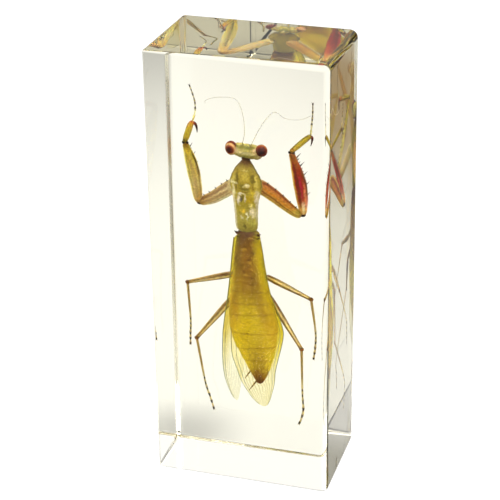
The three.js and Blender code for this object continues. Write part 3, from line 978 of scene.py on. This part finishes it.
class MANTIS_OT_thorax(bpy.types.Operator):
    """Make the long shield behind the head and the neck"""

    bl_idname = "mantis_block.thorax"
    bl_label = "Thorax"

    def execute(self, context):
        shield = cuticle(
            "glassy_olive_shield_cuticle",
            [
                (0.0, "#4a2c10"),
                (0.05, "#6a4a18"),
                (0.12, "#a08a2c"),
                (0.3, "#b8a236"),
                (0.42, "#b7a338"),
                (0.6, "#a8962e"),
                (0.8, "#aea044"),
                (0.95, "#9a8c3a"),
                (1.0, "#6a5a20"),
            ],
            stripes=[
                # The dark lines down both sides of the upper shield are painted shade, and the pale lines
                # down its left and right sides lower down are painted highlights.
                (0.0, 0.07, 0.05, 0.4, "#5c5418", 0.75),
                (0.5, 0.07, 0.05, 0.4, "#6a5c1c", 0.75),
                (0.44, 0.05, 0.45, 0.95, "#e2d8b4", 0.8),
                (0.04, 0.05, 0.5, 0.8, "#b9b49a", 0.7),
            ],
            spots=SHIELD_MARKS_AND_PAINTED_LIGHT,
            mottle=0.36,
            through=0.77,
        )

        def ridged(u, v):
            """A keel down the back, a bowed groove across it at the widest place, and faint rings."""
            keel = 0.05 * hump(u, 0.25, 0.03)
            bow = 0.36 + 0.03 * np.cos(4 * np.pi * u)
            groove = -0.06 * hump(v, bow, 0.02) * smoothstep(np.sin(2 * np.pi * u), 0, 0.6)
            rings = 0.01 * np.cos(2 * np.pi * 14 * v)
            return 1 + keel + groove + rings

        piece("prothorax", [limb(PRONOTUM, TO_FRONT, shield, 110, 48, ridged, pinch=0.25)])
        dark = cuticle("dark_neck_cuticle", [(0.0, "#3c2410"), (1.0, "#5c3a18")], mottle=0.3)
        piece("neck", [limb(NECK, TO_FRONT, dark, 24, 24, beaded(3, 0.05))])
        return {"FINISHED"}


class MANTIS_OT_abdomen(bpy.types.Operator):
    """Make the abdomen with the wing-bearing thorax, and the two tails"""

    bl_idname = "mantis_block.abdomen"
    bl_label = "Abdomen"

    def execute(self, context):
        top, tip = HIND_BODY[0][2], HIND_BODY[-1][2]
        joints = [(top - z) / (top - tip) for z in ABDOMEN_JOINTS]
        # Short marks, dark and pale by turns, weave down the base of the folded wings; they are colour only.
        woven_marks = [
            ((-0.1 + 1.6 * np.sin(2.4 * i), -1.2, 63.6 - 0.8 * i), (0.8, 1.5, 0.4), shade, 0.6)
            for i, shade in enumerate(["#4a2c0e", "#dcb454"] * 9)
        ]
        skin = cuticle(
            "golden_abdomen_cuticle",
            [
                (0.0, "#5a3418"),
                (0.05, "#6e4a26"),
                (0.14, "#a07c38"),
                (0.3, "#ac8a36"),
                (0.42, "#bca436"),
                (0.52, "#dac830"),
                (0.62, "#dfcc2a"),
                (0.78, "#ccb62e"),
                (0.88, "#c4ac30"),
                (0.92, "#a07824"),
                (0.97, "#8a5c1c"),
                (1.0, "#6a4214"),
            ],
            stripes=[
                (0.04, 0.13, 0.06, 0.9, "#fff03c", 0.9),
                (0.46, 0.13, 0.26, 0.9, "#f4e43a", 0.9),
                (0.16, 0.03, 0.25, 0.6, "#a87c30", 0.4),
                (0.36, 0.03, 0.25, 0.6, "#a87c30", 0.4),
                (0.25, 0.1, 0.0, 0.4, "#8a5e2c", 0.45),
            ],
            spots=[
                ((0.5, -1.3, 45.54), (0.4, 1.0, 0.3), "#4c3410", 0.7),
                ((0.6, -1.3, 42.82), (0.4, 1.0, 0.3), "#4c3410", 0.7),
                ((-0.5, -1.2, 37.18), (0.5, 1.0, 0.3), "#5c4410", 0.7),
                ((2.2, -1.2, 33.24), (0.4, 1.0, 0.3), "#5c4410", 0.7),
                ((-0.4, -0.9, 62.54), (1.1, 1.0, 1.5), "#7a5a30", 0.6),
                *woven_marks,
            ],
            mottle=0.38,
            grain=0.45,
            rings=[(v, 0.007, "#8a6a1c", 0.34) for v in joints[:-1]],
            through=0.8,
        )

        def segmented(u, v):
            """Each plate swells towards its hind edge as the square of the way, and steps in after it."""
            edges = np.array([0.26, *joints, 1.02])
            place = np.clip(np.searchsorted(edges, v, side="right"), 1, len(edges) - 1)
            start, end = edges[place - 1], edges[place]
            share = np.clip((v - start) / (end - start), 0, 1)
            return 1 + 0.035 * (share**2 - 0.5) + 0 * u

        trunk = limb(HIND_BODY, TO_FRONT, skin, rings=180, sides=48, relief=segmented)
        hinge_colours = [(0.0, "#4c2a12"), (1.0, "#38200e")]
        hinge = cuticle("dark_wing_hinge_cuticle", hinge_colours, mottle=0.2, through=0.09)
        piece("abdomen", [trunk, cones(*WING_HINGES, WING_HINGE_RADIUS, hinge, 10)])
        tail = cuticle("brown_tail_cuticle", [(0.0, "#7c6a20"), (1.0, "#544418")], mottle=0.2)
        for name, (root, end) in CERCI.items():
            share = np.linspace(0, 1, 5)[:, None]
            line = np.asarray(root) * (1 - share) + np.asarray(end) * share
            rows = np.column_stack([line, 0.22 * (1 - 0.75 * share**2)])
            piece(name, [limb(rows, TO_FRONT, tail, rings=48, sides=12, relief=beaded(9, 0.14))])
        return {"FINISHED"}


def wing_y(x, lift):
    """A wing lies on a bow over the back: the ridge's depth plus the fall times x squared, less its lift."""
    return WING_RIDGE_Y + WING_FALL * x * x - lift


def wing_shell(rows, lift, thickness, material, rings=130, sides=96):
    """A thin closed film: middle + half width * cos p across, and half thickness * sin p through the film.

    The film is thicker by bells along its lengthwise veins and follows the bow of wing_y, with a small
    ripple that runs down it.
    """
    share = crowded_ends(rings)
    line = curve(rows, share)
    z, middle, half = (line[:, i : i + 1] for i in range(3))
    ends = np.sqrt(np.clip(1 - np.abs(2 * share - 1) ** 40, 0, 1))[:, None]
    u = np.arange(sides + 1) / sides
    turn = 2 * np.pi * u[None]
    over = (1 + np.cos(turn)) / 2
    lane = np.abs((over * VEIN_LANES) % 1 - 0.5)
    veins = 1 + 1.2 * hump(lane, 0.5, VEIN_WIDTH)
    x = middle + half * ends * np.cos(turn)
    film = thickness * ends * veins * np.sin(turn)
    ripple = 0.06 * np.sin(2 * np.pi * (over * 3.5 + share[:, None] * 1.5))
    y = wing_y(x, lift) + ripple * ends + film
    points = np.stack([x, y, np.broadcast_to(z, x.shape)], -1)
    points[0] = points[0].mean(0)
    points[-1] = points[-1].mean(0)
    uv = np.stack(np.broadcast_arrays(over, share[:, None]), -1)
    return closed_grid(points[:, :-1], uv, material)


def margin_shell(rows, side, start, end, radius, lift, material):
    """A stiff vein down a wing, side half widths from its middle, that tapers to half its radius."""
    line = curve(rows, np.linspace(start, end, 40))
    x = line[:, 1] + side * line[:, 2]
    taper = radius * (1 - 0.5 * np.linspace(0, 1, 40))
    thread = np.column_stack([x, wing_y(x, lift), line[:, 0], taper])
    return limb(thread, TO_FRONT, material, rings=120, sides=8)


class MANTIS_OT_wings(bpy.types.Operator):
    """Make the two folded wings"""

    bl_idname = "mantis_block.wings"
    bl_label = "Wings"

    def execute(self, context):
        thickness = looks().wing_half_thickness / MM
        edge = cuticle(
            "grey_green_wing_edge",
            [(0.0, "#7a6a16"), (0.4, "#7c8038"), (0.6, "#6c7a58"), (0.85, "#8c9470"), (1.0, "#b0b08c")],
            mottle=0.1,
            through=0.4,
        )
        left = wing_membrane("left_wing_film", -1, "#fffef4", "#f0e498", "#c8c07c")
        right = wing_membrane("right_wing_film", 1, "#fefbe8", "#f0e468", "#c4ba6c")
        left_rims = [margin_shell(LEFT_WING, *rim, LEFT_LIFT, edge) for rim in LEFT_RIMS]
        right_rims = [margin_shell(RIGHT_WING, *rim, RIGHT_LIFT, edge) for rim in RIGHT_RIMS]
        piece("left_wing", [wing_shell(LEFT_WING, LEFT_LIFT, thickness, left), *left_rims])
        piece("right_wing", [wing_shell(RIGHT_WING, RIGHT_LIFT, thickness, right), *right_rims])
        return {"FINISHED"}


# What each part's cuticle is given.
FORELEG_SKINS = {
    "left": {
        "coxa": dict(
            name="pale_left_coxa_cuticle",
            along=[
                (0.0, "#d8c884"),
                (0.25, "#e0cc94"),
                (0.6, "#dfc688"),
                (0.9, "#bc9440"),
                (1.0, "#6c4818"),
            ],
            stripes=[
                (0.36, 0.05, 0.15, 0.95, "#8a5e38", 0.8),
                (0.44, 0.03, 0.1, 0.95, "#c0a05c", 0.7),
                # painted light: a glow along the thin lower edge, as if lit through
                (0.08, 0.07, 0.1, 0.9, "#fff6c8", 0.9),
                (0.24, 0.03, 0.2, 0.95, "#9c7448", 0.7),
                (0.17, 0.02, 0.1, 0.7, "#b89468", 0.6),
            ],
            mottle=0.4,
            through=0.77,
        ),
        "femur": dict(
            name="golden_left_femur_cuticle",
            along=[
                (0.0, "#8a6424"),
                (0.08, "#dcb868"),
                (0.35, "#e2d48c"),
                (0.7, "#e2d060"),
                (0.9, "#dcc438"),
                (1.0, "#8a6a18"),
            ],
            stripes=[
                (0.27, 0.05, 0.15, 0.8, "#c4a468", 0.6),
                # painted light: a glow along the thin left edge, as if lit through
                (0.08, 0.06, 0.05, 0.95, "#fff48c", 0.8),
                (0.17, 0.02, 0.2, 0.9, "#b08c44", 0.6),
                # painted shade along the right edge
                (0.43, 0.04, 0.5, 0.88, "#33220c", 0.9),
                (0.4, 0.03, 0.1, 0.7, "#a88854", 0.6),
            ],
            mottle=0.4,
        ),
        "tibia": dict(
            name="bright_yellow_left_tibia_cuticle",
            along=[
                (0.0, "#6a5a0a"),
                (0.12, "#9c880e"),
                (0.45, "#a08c10"),
                (0.75, "#ae8810"),
                (0.92, "#b05c14"),
                (1.0, "#6a2408"),
            ],
            through=0.77,
        ),
    },
    "right": {
        "coxa": dict(
            name="orange_right_coxa_cuticle",
            along=[
                (0.0, "#d0b070"),
                (0.12, "#c09448"),
                (0.5, "#c89c38"),
                (0.85, "#d4b848"),
                (1.0, "#8a6420"),
            ],
            stripes=[
                (0.07, 0.05, 0.05, 0.85, "#8a3a14", 0.9),
                (0.14, 0.03, 0.05, 0.8, "#c87834", 0.8),
                (0.21, 0.03, 0.1, 0.8, "#d8882c", 0.8),
                (0.28, 0.02, 0.08, 0.9, "#94501c", 0.8),
                # painted light: a glow along the thin lower edge, as if lit through
                (0.42, 0.07, 0.03, 1.0, "#fff070", 0.85),
                (0.36, 0.02, 0.1, 0.95, "#b07c28", 0.7),
            ],
            mottle=0.4,
        ),
        "femur": dict(
            name="maroon_right_femur_cuticle",
            along=[
                (0.0, "#a86c20"),
                (0.1, "#ecbc60"),
                (0.24, "#c86428"),
                (0.5, "#b43008"),
                (0.75, "#a03004"),
                (0.9, "#a85c1a"),
                (1.0, "#8a5414"),
            ],
            stripes=[
                # painted light: a glow along the thin left edge, as if lit through
                (0.07, 0.07, 0.05, 0.97, "#f4cc58", 0.9),
                (0.22, 0.04, 0.2, 0.9, "#7a1002", 0.85),
                (0.29, 0.03, 0.3, 0.66, "#c8123c", 0.85),
                (0.37, 0.03, 0.12, 0.55, "#f09468", 0.75),
                (0.45, 0.05, 0.35, 0.75, "#6a4c14", 0.8),
                (0.45, 0.05, 0.08, 0.3, "#d8a0a0", 0.6),
                (0.3, 0.05, 0.06, 0.22, "#fff0c4", 0.9),
            ],
            mottle=0.45,
        ),
        "tibia": dict(
            name="olive_right_tibia_cuticle",
            along=[
                (0.0, "#8a6418"),
                (0.15, "#9c841c"),
                (0.6, "#a08c1c"),
                (0.9, "#8c741c"),
                (1.0, "#5a3c10"),
            ],
            stripes=[(0.25, 0.06, 0.1, 0.95, "#6c6410", 0.6)],
        ),
    },
}


def foreleg_spines(rows, side, length, material):
    """Two rows of spines down the grasping edge: one of long and short by turns, and one of half length."""
    count = 13
    line = curve(rows, np.linspace(0.3, 0.86, count))
    centre, out = line[:, :3], line[:, 3:4] * 0.6
    side = np.asarray(side)
    lean = unit(side + np.array([0.0, -0.1, 0.35]))
    reach = length * np.where(np.arange(count) % 3 == 0, 1.0, 0.45)[:, None]
    inner_root = centre + unit(side) * out
    inner = cones(inner_root, inner_root + lean * (reach + 0.5), 0.24, material)
    swung = unit(np.cross(unit(side), TO_TOP))
    outer_root = (centre + unit(side - 0.7 * swung) * out)[1::2]
    outer = cones(outer_root, outer_root + lean * (0.5 * length + 0.5), 0.2, material)
    return [inner, outer]


class MANTIS_OT_forelegs(bpy.types.Operator):
    """Make the two grasping legs"""

    bl_idname = "mantis_block.forelegs"
    bl_label = "Forelegs"

    def execute(self, context):
        claw_colours = [(0.0, "#7a2a10"), (0.4, "#4a160a"), (1.0, "#1e0c06")]
        claw_skin = cuticle("dark_claw_cuticle", claw_colours, through=0.17)
        foot_skin = cuticle(
            "beaded_foot_cuticle",
            [(0.0, "#c8b860"), (0.3, "#cfc79c"), (0.5, "#a49c7c"), (1.0, "#8c8470")],
            joints=(6, 0.3, 0.7, "#1e170e", 0.98),
            mottle=0.3,
        )
        knob_skin = cuticle("dark_joint_cuticle", [(0.0, "#3a240c"), (1.0, "#2c1a08")], through=0.17)
        length = looks().spine_length / MM
        for side, parts in FORELEG_SKINS.items():
            skin = {part: cuticle(**look) for part, look in parts.items()}
            coxa = limb(COXA[side], TO_FRONT, skin["coxa"], rings=60, sides=28, relief=beaded(5, 0.012))
            line = curve(COXA[side], np.linspace(0.25, 0.85, 6))
            outward = unit(np.array([0.6 if side == "right" else -0.6, -0.3, 0.9]))
            edge = line[:, :3] + outward * line[:, 3:4]
            teeth = cones(edge - outward * 0.3, edge + outward * 0.6, 0.3, knob_skin)
            piece(side + "_foreleg_coxa", [coxa, teeth])
            femur_rows = np.asarray(FORE_FEMUR[side])
            femur = limb(femur_rows, TO_FRONT, skin["femur"], rings=70, sides=28, relief=beaded(4, 0.015))
            spines = foreleg_spines(femur_rows, SPINE_SIDE[side], length, knob_skin)
            elbow, knee = femur_rows[0, :3], femur_rows[-1, :3]
            knobs = [
                ball(elbow + [0, -0.2, -0.1], (0.8, 0.75, 0.6), knob_skin, 14, 18),
                ball(knee + [-0.45, 0.0, 0.15], (0.36, 0.4, 0.36), knob_skin, 12, 16),
                ball(knee + [0.5, 0.1, 0.1], (0.34, 0.4, 0.34), knob_skin, 12, 16),
            ]
            piece(side + "_foreleg_femur", [femur, *spines, *knobs])
            tibia_rows = np.asarray(FORE_TIBIA[side])
            tibia = limb(tibia_rows, TO_TOP, skin["tibia"], rings=48, sides=22)
            small = curve(tibia_rows[:, :3], np.linspace(0.25, 0.9, 8))
            down = np.array([0.0, 0.35, -0.9])
            bristles = cones(small + down * 0.45, small + down * 1.05, 0.1, knob_skin)
            claw = limb(FORE_CLAW[side], TO_FRONT, claw_skin, rings=36, sides=14)
            piece(side + "_foreleg_tibia", [tibia, bristles, claw])
            foot = np.asarray(FORE_TARSUS[side])
            foot_rows = np.column_stack([foot, np.linspace(0.27, 0.17, len(foot))])
            toes = limb(foot_rows, TO_FRONT, foot_skin, rings=110, sides=12, relief=jointed(5, 0.35))
            hooks = foot_hooks(foot[-2], foot[-1], knob_skin)
            piece(side + "_foreleg_foot", [toes, hooks])
        return {"FINISHED"}


# A thigh's half widths at these shares of its length.
THIGH_SHARES = np.array([0.0, 0.2, 0.45, 0.7, 0.9, 1.0])
THIGH_HALF_WIDTHS = np.array([0.68, 0.84, 0.78, 0.62, 0.5, 0.52])
THIGH_STRIPES = [
    (0.2, 0.05, 0.05, 0.95, "#f0dca0", 0.8),
    (0.33, 0.04, 0.1, 0.98, "#7a5a2c", 0.7),
    (0.45, 0.05, 0.1, 0.95, "#cbb468", 0.5),
    (0.02, 0.05, 0.05, 0.9, "#7c6236", 0.7),
]


class MANTIS_OT_walking_legs(bpy.types.Operator):
    """Make the four thin walking legs"""

    bl_idname = "mantis_block.walking_legs"
    bl_label = "Walking Legs"

    def execute(self, context):
        foot_skin = cuticle(
            "dark_banded_foot_cuticle",
            [(0.0, "#a89050"), (0.4, "#9c8c50"), (0.6, "#c0b484"), (1.0, "#b4a880")],
            joints=(6, 0.56, 0.62, "#1c140a", 0.98),
            mottle=0.3,
        )
        knob = cuticle("brown_knee_cuticle", [(0.0, "#8a5a18"), (1.0, "#5c3c10")], mottle=0.2)
        for name, leg in WALKING_LEGS.items():
            start, stop = leg["dark"]
            thigh_skin = cuticle(
                name + "_thigh_cuticle",
                [
                    (0.0, "#a08040"),
                    (max(start, 0.02), "#8a6836"),
                    ((start + stop) / 2, "#6c4c26"),
                    (stop + 0.08, "#988248"),
                    (0.75, "#9c884e"),
                    (0.95, "#987c34"),
                    (1.0, "#8a6418"),
                ],
                stripes=THIGH_STRIPES,
                mottle=0.3,
            )
            hip, hip_end = leg["hip"]
            knee = np.asarray(leg["knee"], float)
            coxa = limb([(*hip, 0.8), (*hip_end, 0.75)], TO_FRONT, thigh_skin, rings=20, sides=16)
            line = np.asarray(hip_end) + THIGH_SHARES[:, None] * (knee - np.asarray(hip_end))
            thigh_rows = np.column_stack([line, THIGH_HALF_WIDTHS, 0.85 * THIGH_HALF_WIDTHS])
            thigh = limb(thigh_rows, TO_FRONT, thigh_skin, rings=60, sides=18)
            knee_ball = ball(knee, (0.6, 0.55, 0.55), knob, 14, 18)
            piece(name + "_thigh", [coxa, thigh, knee_ball])
            line = np.vstack([knee, leg["foot"]])
            radius = np.linspace(0.36, 0.25, len(line))
            radius[1] = 0.26  # the shin is slim at its end, and the foot's first joint is thicker again
            shin = limb(np.column_stack([line, radius]), TO_FRONT, foot_skin, 180, 12, shin_relief)
            bristles = cones(*shin_bristles(line), 0.06, knob, 5)
            piece(name + "_shin", [shin, bristles, foot_hooks(line[-2], line[-1], knob)])
        return {"FINISHED"}


def shin_relief(u, v):
    """Smooth down the shin, and in five joints over the last third, which is the foot."""
    foot = np.clip((v - 0.6) / 0.4, 0, 1)
    joint = (foot * 5) % 1
    swelling = 0.75 + 0.45 * joint * (1 - smoothstep(joint, 0.85, 1.0))
    return np.where(v < 0.6, 1.0 + 0.25 * hump(v, 0.6, 0.02), swelling) + 0 * u


def shin_bristles(line):
    """Roots and tips of the short bristles of a shin, on its two sides by turns."""
    count = 12
    points = curve(line, np.linspace(0.06, 0.55, count))
    side = np.where(np.arange(count) % 2 == 0, 0.4, -0.4)
    lean = np.column_stack([side, np.full(count, 0.05), np.full(count, -0.35)])
    return points + lean * 0.2, points + lean * 1.1


# ---- The studio ----
WHITE = (1.0, 1.0, 1.0, 1.0)
BLACK = (0.0, 0.0, 0.0, 1.0)
FLOOR_RADIUS_M = 12.0
FLOOR_DROP_M = 0.0003  # a film of air between floor and block
# The light falls off from the first number to the second, along Y or by the distance from a place.
REAR_FADE_M = (0.13, 0.47)
REAR_SLANT = 0.8  # how much X counts in that beside Y
REAR_SHADE = 0.4
FAR_FADE_M = (0.3, 0.55)
FAR_SHADE = 0.06
FOOT_SHADE_AT_M = (-0.021, 0.016, 0.0)
FOOT_FADE_M = (0.0, 0.02)
FOOT_SHADE = 0.6
# Painted shade on the floor's glow, seen only through the resin: tan at the front left and grey at the front
# right.
TAN_SHADE_AT_M = (-0.09, -0.225, 0.0)
TAN_SHADE_FADE_M = (0.03, 0.12)
TAN_SHADE = "#b08d52"
GREY_SHADE_AT_M = (0.17, -0.09, 0.0)
GREY_SHADE_FADE_M = (0.06, 0.15)
GREY_SHADE = 0.5
WARMTH = 0.95  # blue beside red and green
MIRRORED_KEPT = 0.12  # share of the floor's and sky's light that the block's faces mirror; the rest is painted dark
BEHIND_KEPT = 0.7  # the same for the floor behind the block
BEHIND_FROM_M = (0.0, 0.02)
BEHIND_FADE_M = (0.03, 0.2)
SKY_KEPT = 0.42  # the same for the sky behind the block
# Ranges of the Z or Y of a direction, and for the softboxes of the cosine to their middles.
BEHIND_SKY = (0.0, 0.3)
HORIZON = (0.1, 0.36)
HORIZON_LIGHT = 0.05
SKY_TURN = (-0.7, 0.1)
SKY_IN_FRONT = 0.48
SOFTBOXES_TO = ((-0.60, -0.36, 0.71), (0.58, -0.40, 0.71))
SOFTBOX_EDGE = (0.85, 0.96)
SENSOR_MM = 36.0
LENS_MM = 118.2
CAMERA_TARGET = (-1.32, 0.0, 56.61)
CAMERA_DISTANCE = 397.0
CAMERA_TURN_DEG = (-17.32, 25.45, -0.81)  # yaw, pitch and roll
RAY_BOUNCES = 32


def outer_reflection(tree):
    """1 for light mirrored by a smooth face, and for no other."""
    path = add(tree, "LightPath")
    return math(tree, "MULTIPLY", path.outputs["Is Reflection Ray"], path.outputs["Is Glossy Ray"])


def table_light(settings):
    """White acrylic lit from below, as a light table: bright and even near the block.

    Seen straight, it is white throughout. Seen through the resin it is what surrounds such a table: it falls
    off to the rear right and far behind, holds a painted tan shade at the front left and a painted grey shade
    at the front right, and is a little dim at the block's foot. What the block's faces mirror of it is
    painted much darker, least behind the block.
    """
    material, tree = new_material("light_table_acrylic")
    place = add(tree, "TexCoord").outputs["Object"]
    x, y, _ = add(tree, "SeparateXYZ", {0: place}).outputs

    def near(point, fade, inside, outside):
        return ease(tree, vector_math(tree, "DISTANCE", place, point), *fade, inside, outside)

    rear = ease(tree, math(tree, "MULTIPLY_ADD", x, REAR_SLANT, y), *REAR_FADE_M, 1.0, REAR_SHADE)
    far = ease(tree, y, *FAR_FADE_M, 1.0, FAR_SHADE)
    foot = near(FOOT_SHADE_AT_M, FOOT_FADE_M, FOOT_SHADE, 1.0)
    grey_shade = near(GREY_SHADE_AT_M, GREY_SHADE_FADE_M, GREY_SHADE, 1.0)
    level = math(tree, "MULTIPLY", math(tree, "MULTIPLY", rear, far), math(tree, "MULTIPLY", foot, grey_shade))
    warm = math(tree, "MULTIPLY", level, WARMTH)
    grey = add(tree, "CombineColor", {0: level, 1: level, 2: warm}).outputs[0]
    seen_in_resin = mixed(tree, near(TAN_SHADE_AT_M, TAN_SHADE_FADE_M, 1.0, 0.0), grey, linear(TAN_SHADE))
    through = add(tree, "LightPath").outputs["Is Transmission Ray"]
    colour = mixed(tree, through, WHITE, seen_in_resin)
    behind = ease(tree, y, *BEHIND_FROM_M, MIRRORED_KEPT, BEHIND_KEPT)
    fading = ease(tree, y, *BEHIND_FADE_M, 1.0, 0.15)
    kept = math(tree, "MAXIMUM", math(tree, "MULTIPLY", behind, fading), MIRRORED_KEPT)
    dim = math(tree, "MULTIPLY", outer_reflection(tree), math(tree, "SUBTRACT", 1.0, kept))
    colour = mixed(tree, dim, colour, BLACK)
    acrylic = {
        "Base Color": mixed(tree, 1 - settings.floor_base, colour, BLACK),
        "Roughness": 0.8,
        "Specular IOR Level": 0.0,
        "Emission Color": colour,
        "Emission Strength": settings.floor_glow,
    }
    add(tree, "OutputMaterial", {"Surface": add(tree, "BsdfPrincipled", acrylic).outputs[0]})
    return material


def studio_sky(settings):
    """Soft white walls and ceiling: dark at the horizon, dimmer in front, a softbox high on each side.

    What the block's faces mirror of the sky is painted much darker, least behind the block.
    """
    world = bpy.data.worlds.new("studio")
    world.use_nodes = True
    tree = world.node_tree
    tree.nodes.clear()
    ray = add(tree, "TexCoord").outputs["Generated"]
    _, y, z = add(tree, "SeparateXYZ", {0: ray}).outputs
    wall = ease(tree, z, *HORIZON, HORIZON_LIGHT, 1.0)
    light = math(tree, "MULTIPLY", wall, ease(tree, y, *SKY_TURN, SKY_IN_FRONT, 1.0))
    for direction in SOFTBOXES_TO:
        towards = vector_math(tree, "DOT_PRODUCT", ray, direction)
        light = math(tree, "ADD", light, ease(tree, towards, *SOFTBOX_EDGE, 0.0, settings.softbox))
    behind = ease(tree, y, *BEHIND_SKY, MIRRORED_KEPT - 1, SKY_KEPT - 1)
    kept = math(tree, "MULTIPLY_ADD", outer_reflection(tree), behind, 1.0)
    strength = math(tree, "MULTIPLY", math(tree, "MULTIPLY", light, kept), settings.sky)
    glow = add(tree, "Background", {"Color": WHITE, "Strength": strength}).outputs[0]
    add(tree, "OutputWorld", {"Surface": glow})
    return world


class MANTIS_OT_studio(bpy.types.Operator):
    """Set up the floor, the soft light and the camera"""

    bl_idname = "mantis_block.studio"
    bl_label = "Studio"

    def execute(self, context):
        settings = context.scene.mantis_studio
        sides = 64
        angle = np.linspace(0, 2 * np.pi, sides, endpoint=False)
        rim = np.column_stack([np.cos(angle), np.sin(angle), np.zeros(sides)]) * FLOOR_RADIUS_M
        mesh = bpy.data.meshes.new("floor")
        mesh.from_pydata((rim - [0, 0, FLOOR_DROP_M]).tolist(), [], [list(range(sides))])
        mesh.materials.append(table_light(settings))
        floor = bpy.data.objects.new("floor", mesh)
        context.scene.collection.objects.link(floor)
        context.scene.world = studio_sky(settings)

        cam = bpy.data.cameras.new("camera")
        cam.sensor_width = SENSOR_MM
        cam.lens = LENS_MM
        cam.clip_start = 0.01
        eye = bpy.data.objects.new("camera", cam)
        eye.matrix_world = camera_matrix()
        context.scene.collection.objects.link(eye)
        context.scene.camera = eye
        context.scene.view_settings.view_transform = "Standard"
        context.scene.cycles.max_bounces = RAY_BOUNCES
        context.scene.cycles.transmission_bounces = RAY_BOUNCES
        context.scene.cycles.transparent_max_bounces = RAY_BOUNCES
        context.scene.cycles.blur_glossy = 0.0
        return {"FINISHED"}


def camera_matrix():
    """The camera stands a distance back from its target, turned by yaw, pitch and then roll."""
    yaw, pitch, roll = np.radians(CAMERA_TURN_DEG)
    ahead = np.array([np.sin(yaw) * np.cos(pitch), np.cos(yaw) * np.cos(pitch), -np.sin(pitch)])
    level = np.array([np.cos(yaw), -np.sin(yaw), 0.0])
    upright = np.cross(level, ahead)
    right = np.cos(roll) * level + np.sin(roll) * upright
    up = np.cos(roll) * upright - np.sin(roll) * level
    place = (np.array(CAMERA_TARGET) - CAMERA_DISTANCE * ahead) * MM
    return Matrix([[right[i], up[i], -ahead[i], place[i]] for i in range(3)] + [[0, 0, 0, 1]])


OPERATORS = (
    MANTIS_OT_studio,
    MANTIS_OT_resin_block,
    MANTIS_OT_head,
    MANTIS_OT_thorax,
    MANTIS_OT_abdomen,
    MANTIS_OT_wings,
    MANTIS_OT_forelegs,
    MANTIS_OT_walking_legs,
)


class MANTIS_PT_panel(bpy.types.Panel):
    """The sidebar's buttons and settings"""

    bl_idname = "MANTIS_PT_panel"
    bl_label = "Mantis in Resin Block"
    bl_space_type = "VIEW_3D"
    bl_region_type = "UI"
    bl_category = "Mantis Block"

    def draw(self, context):
        for operator in OPERATORS:
            self.layout.operator(operator.bl_idname)
        scene = context.scene
        for group in (scene.mantis_block_sizes, scene.mantis_looks, scene.mantis_studio):
            box = self.layout.box()
            for key in group.__annotations__:
                box.prop(group, key)


CLASSES = (MantisBlockSizes, MantisLooks, StudioSettings, *OPERATORS, MANTIS_PT_panel)


def register():
    for item in CLASSES:
        bpy.utils.register_class(item)
    bpy.types.Scene.mantis_block_sizes = PointerProperty(type=MantisBlockSizes)
    bpy.types.Scene.mantis_looks = PointerProperty(type=MantisLooks)
    bpy.types.Scene.mantis_studio = PointerProperty(type=StudioSettings)


def unregister():
    del bpy.types.Scene.mantis_studio
    del bpy.types.Scene.mantis_looks
    del bpy.types.Scene.mantis_block_sizes
    for item in reversed(CLASSES):
        bpy.utils.unregister_class(item)


def main():
    register()
    bpy.ops.mantis_block.studio()
    bpy.ops.mantis_block.resin_block()
    bpy.ops.mantis_block.head()
    bpy.ops.mantis_block.thorax()
    bpy.ops.mantis_block.abdomen()
    bpy.ops.mantis_block.wings()
    bpy.ops.mantis_block.forelegs()
    bpy.ops.mantis_block.walking_legs()


if __name__ == "__main__":
    main()
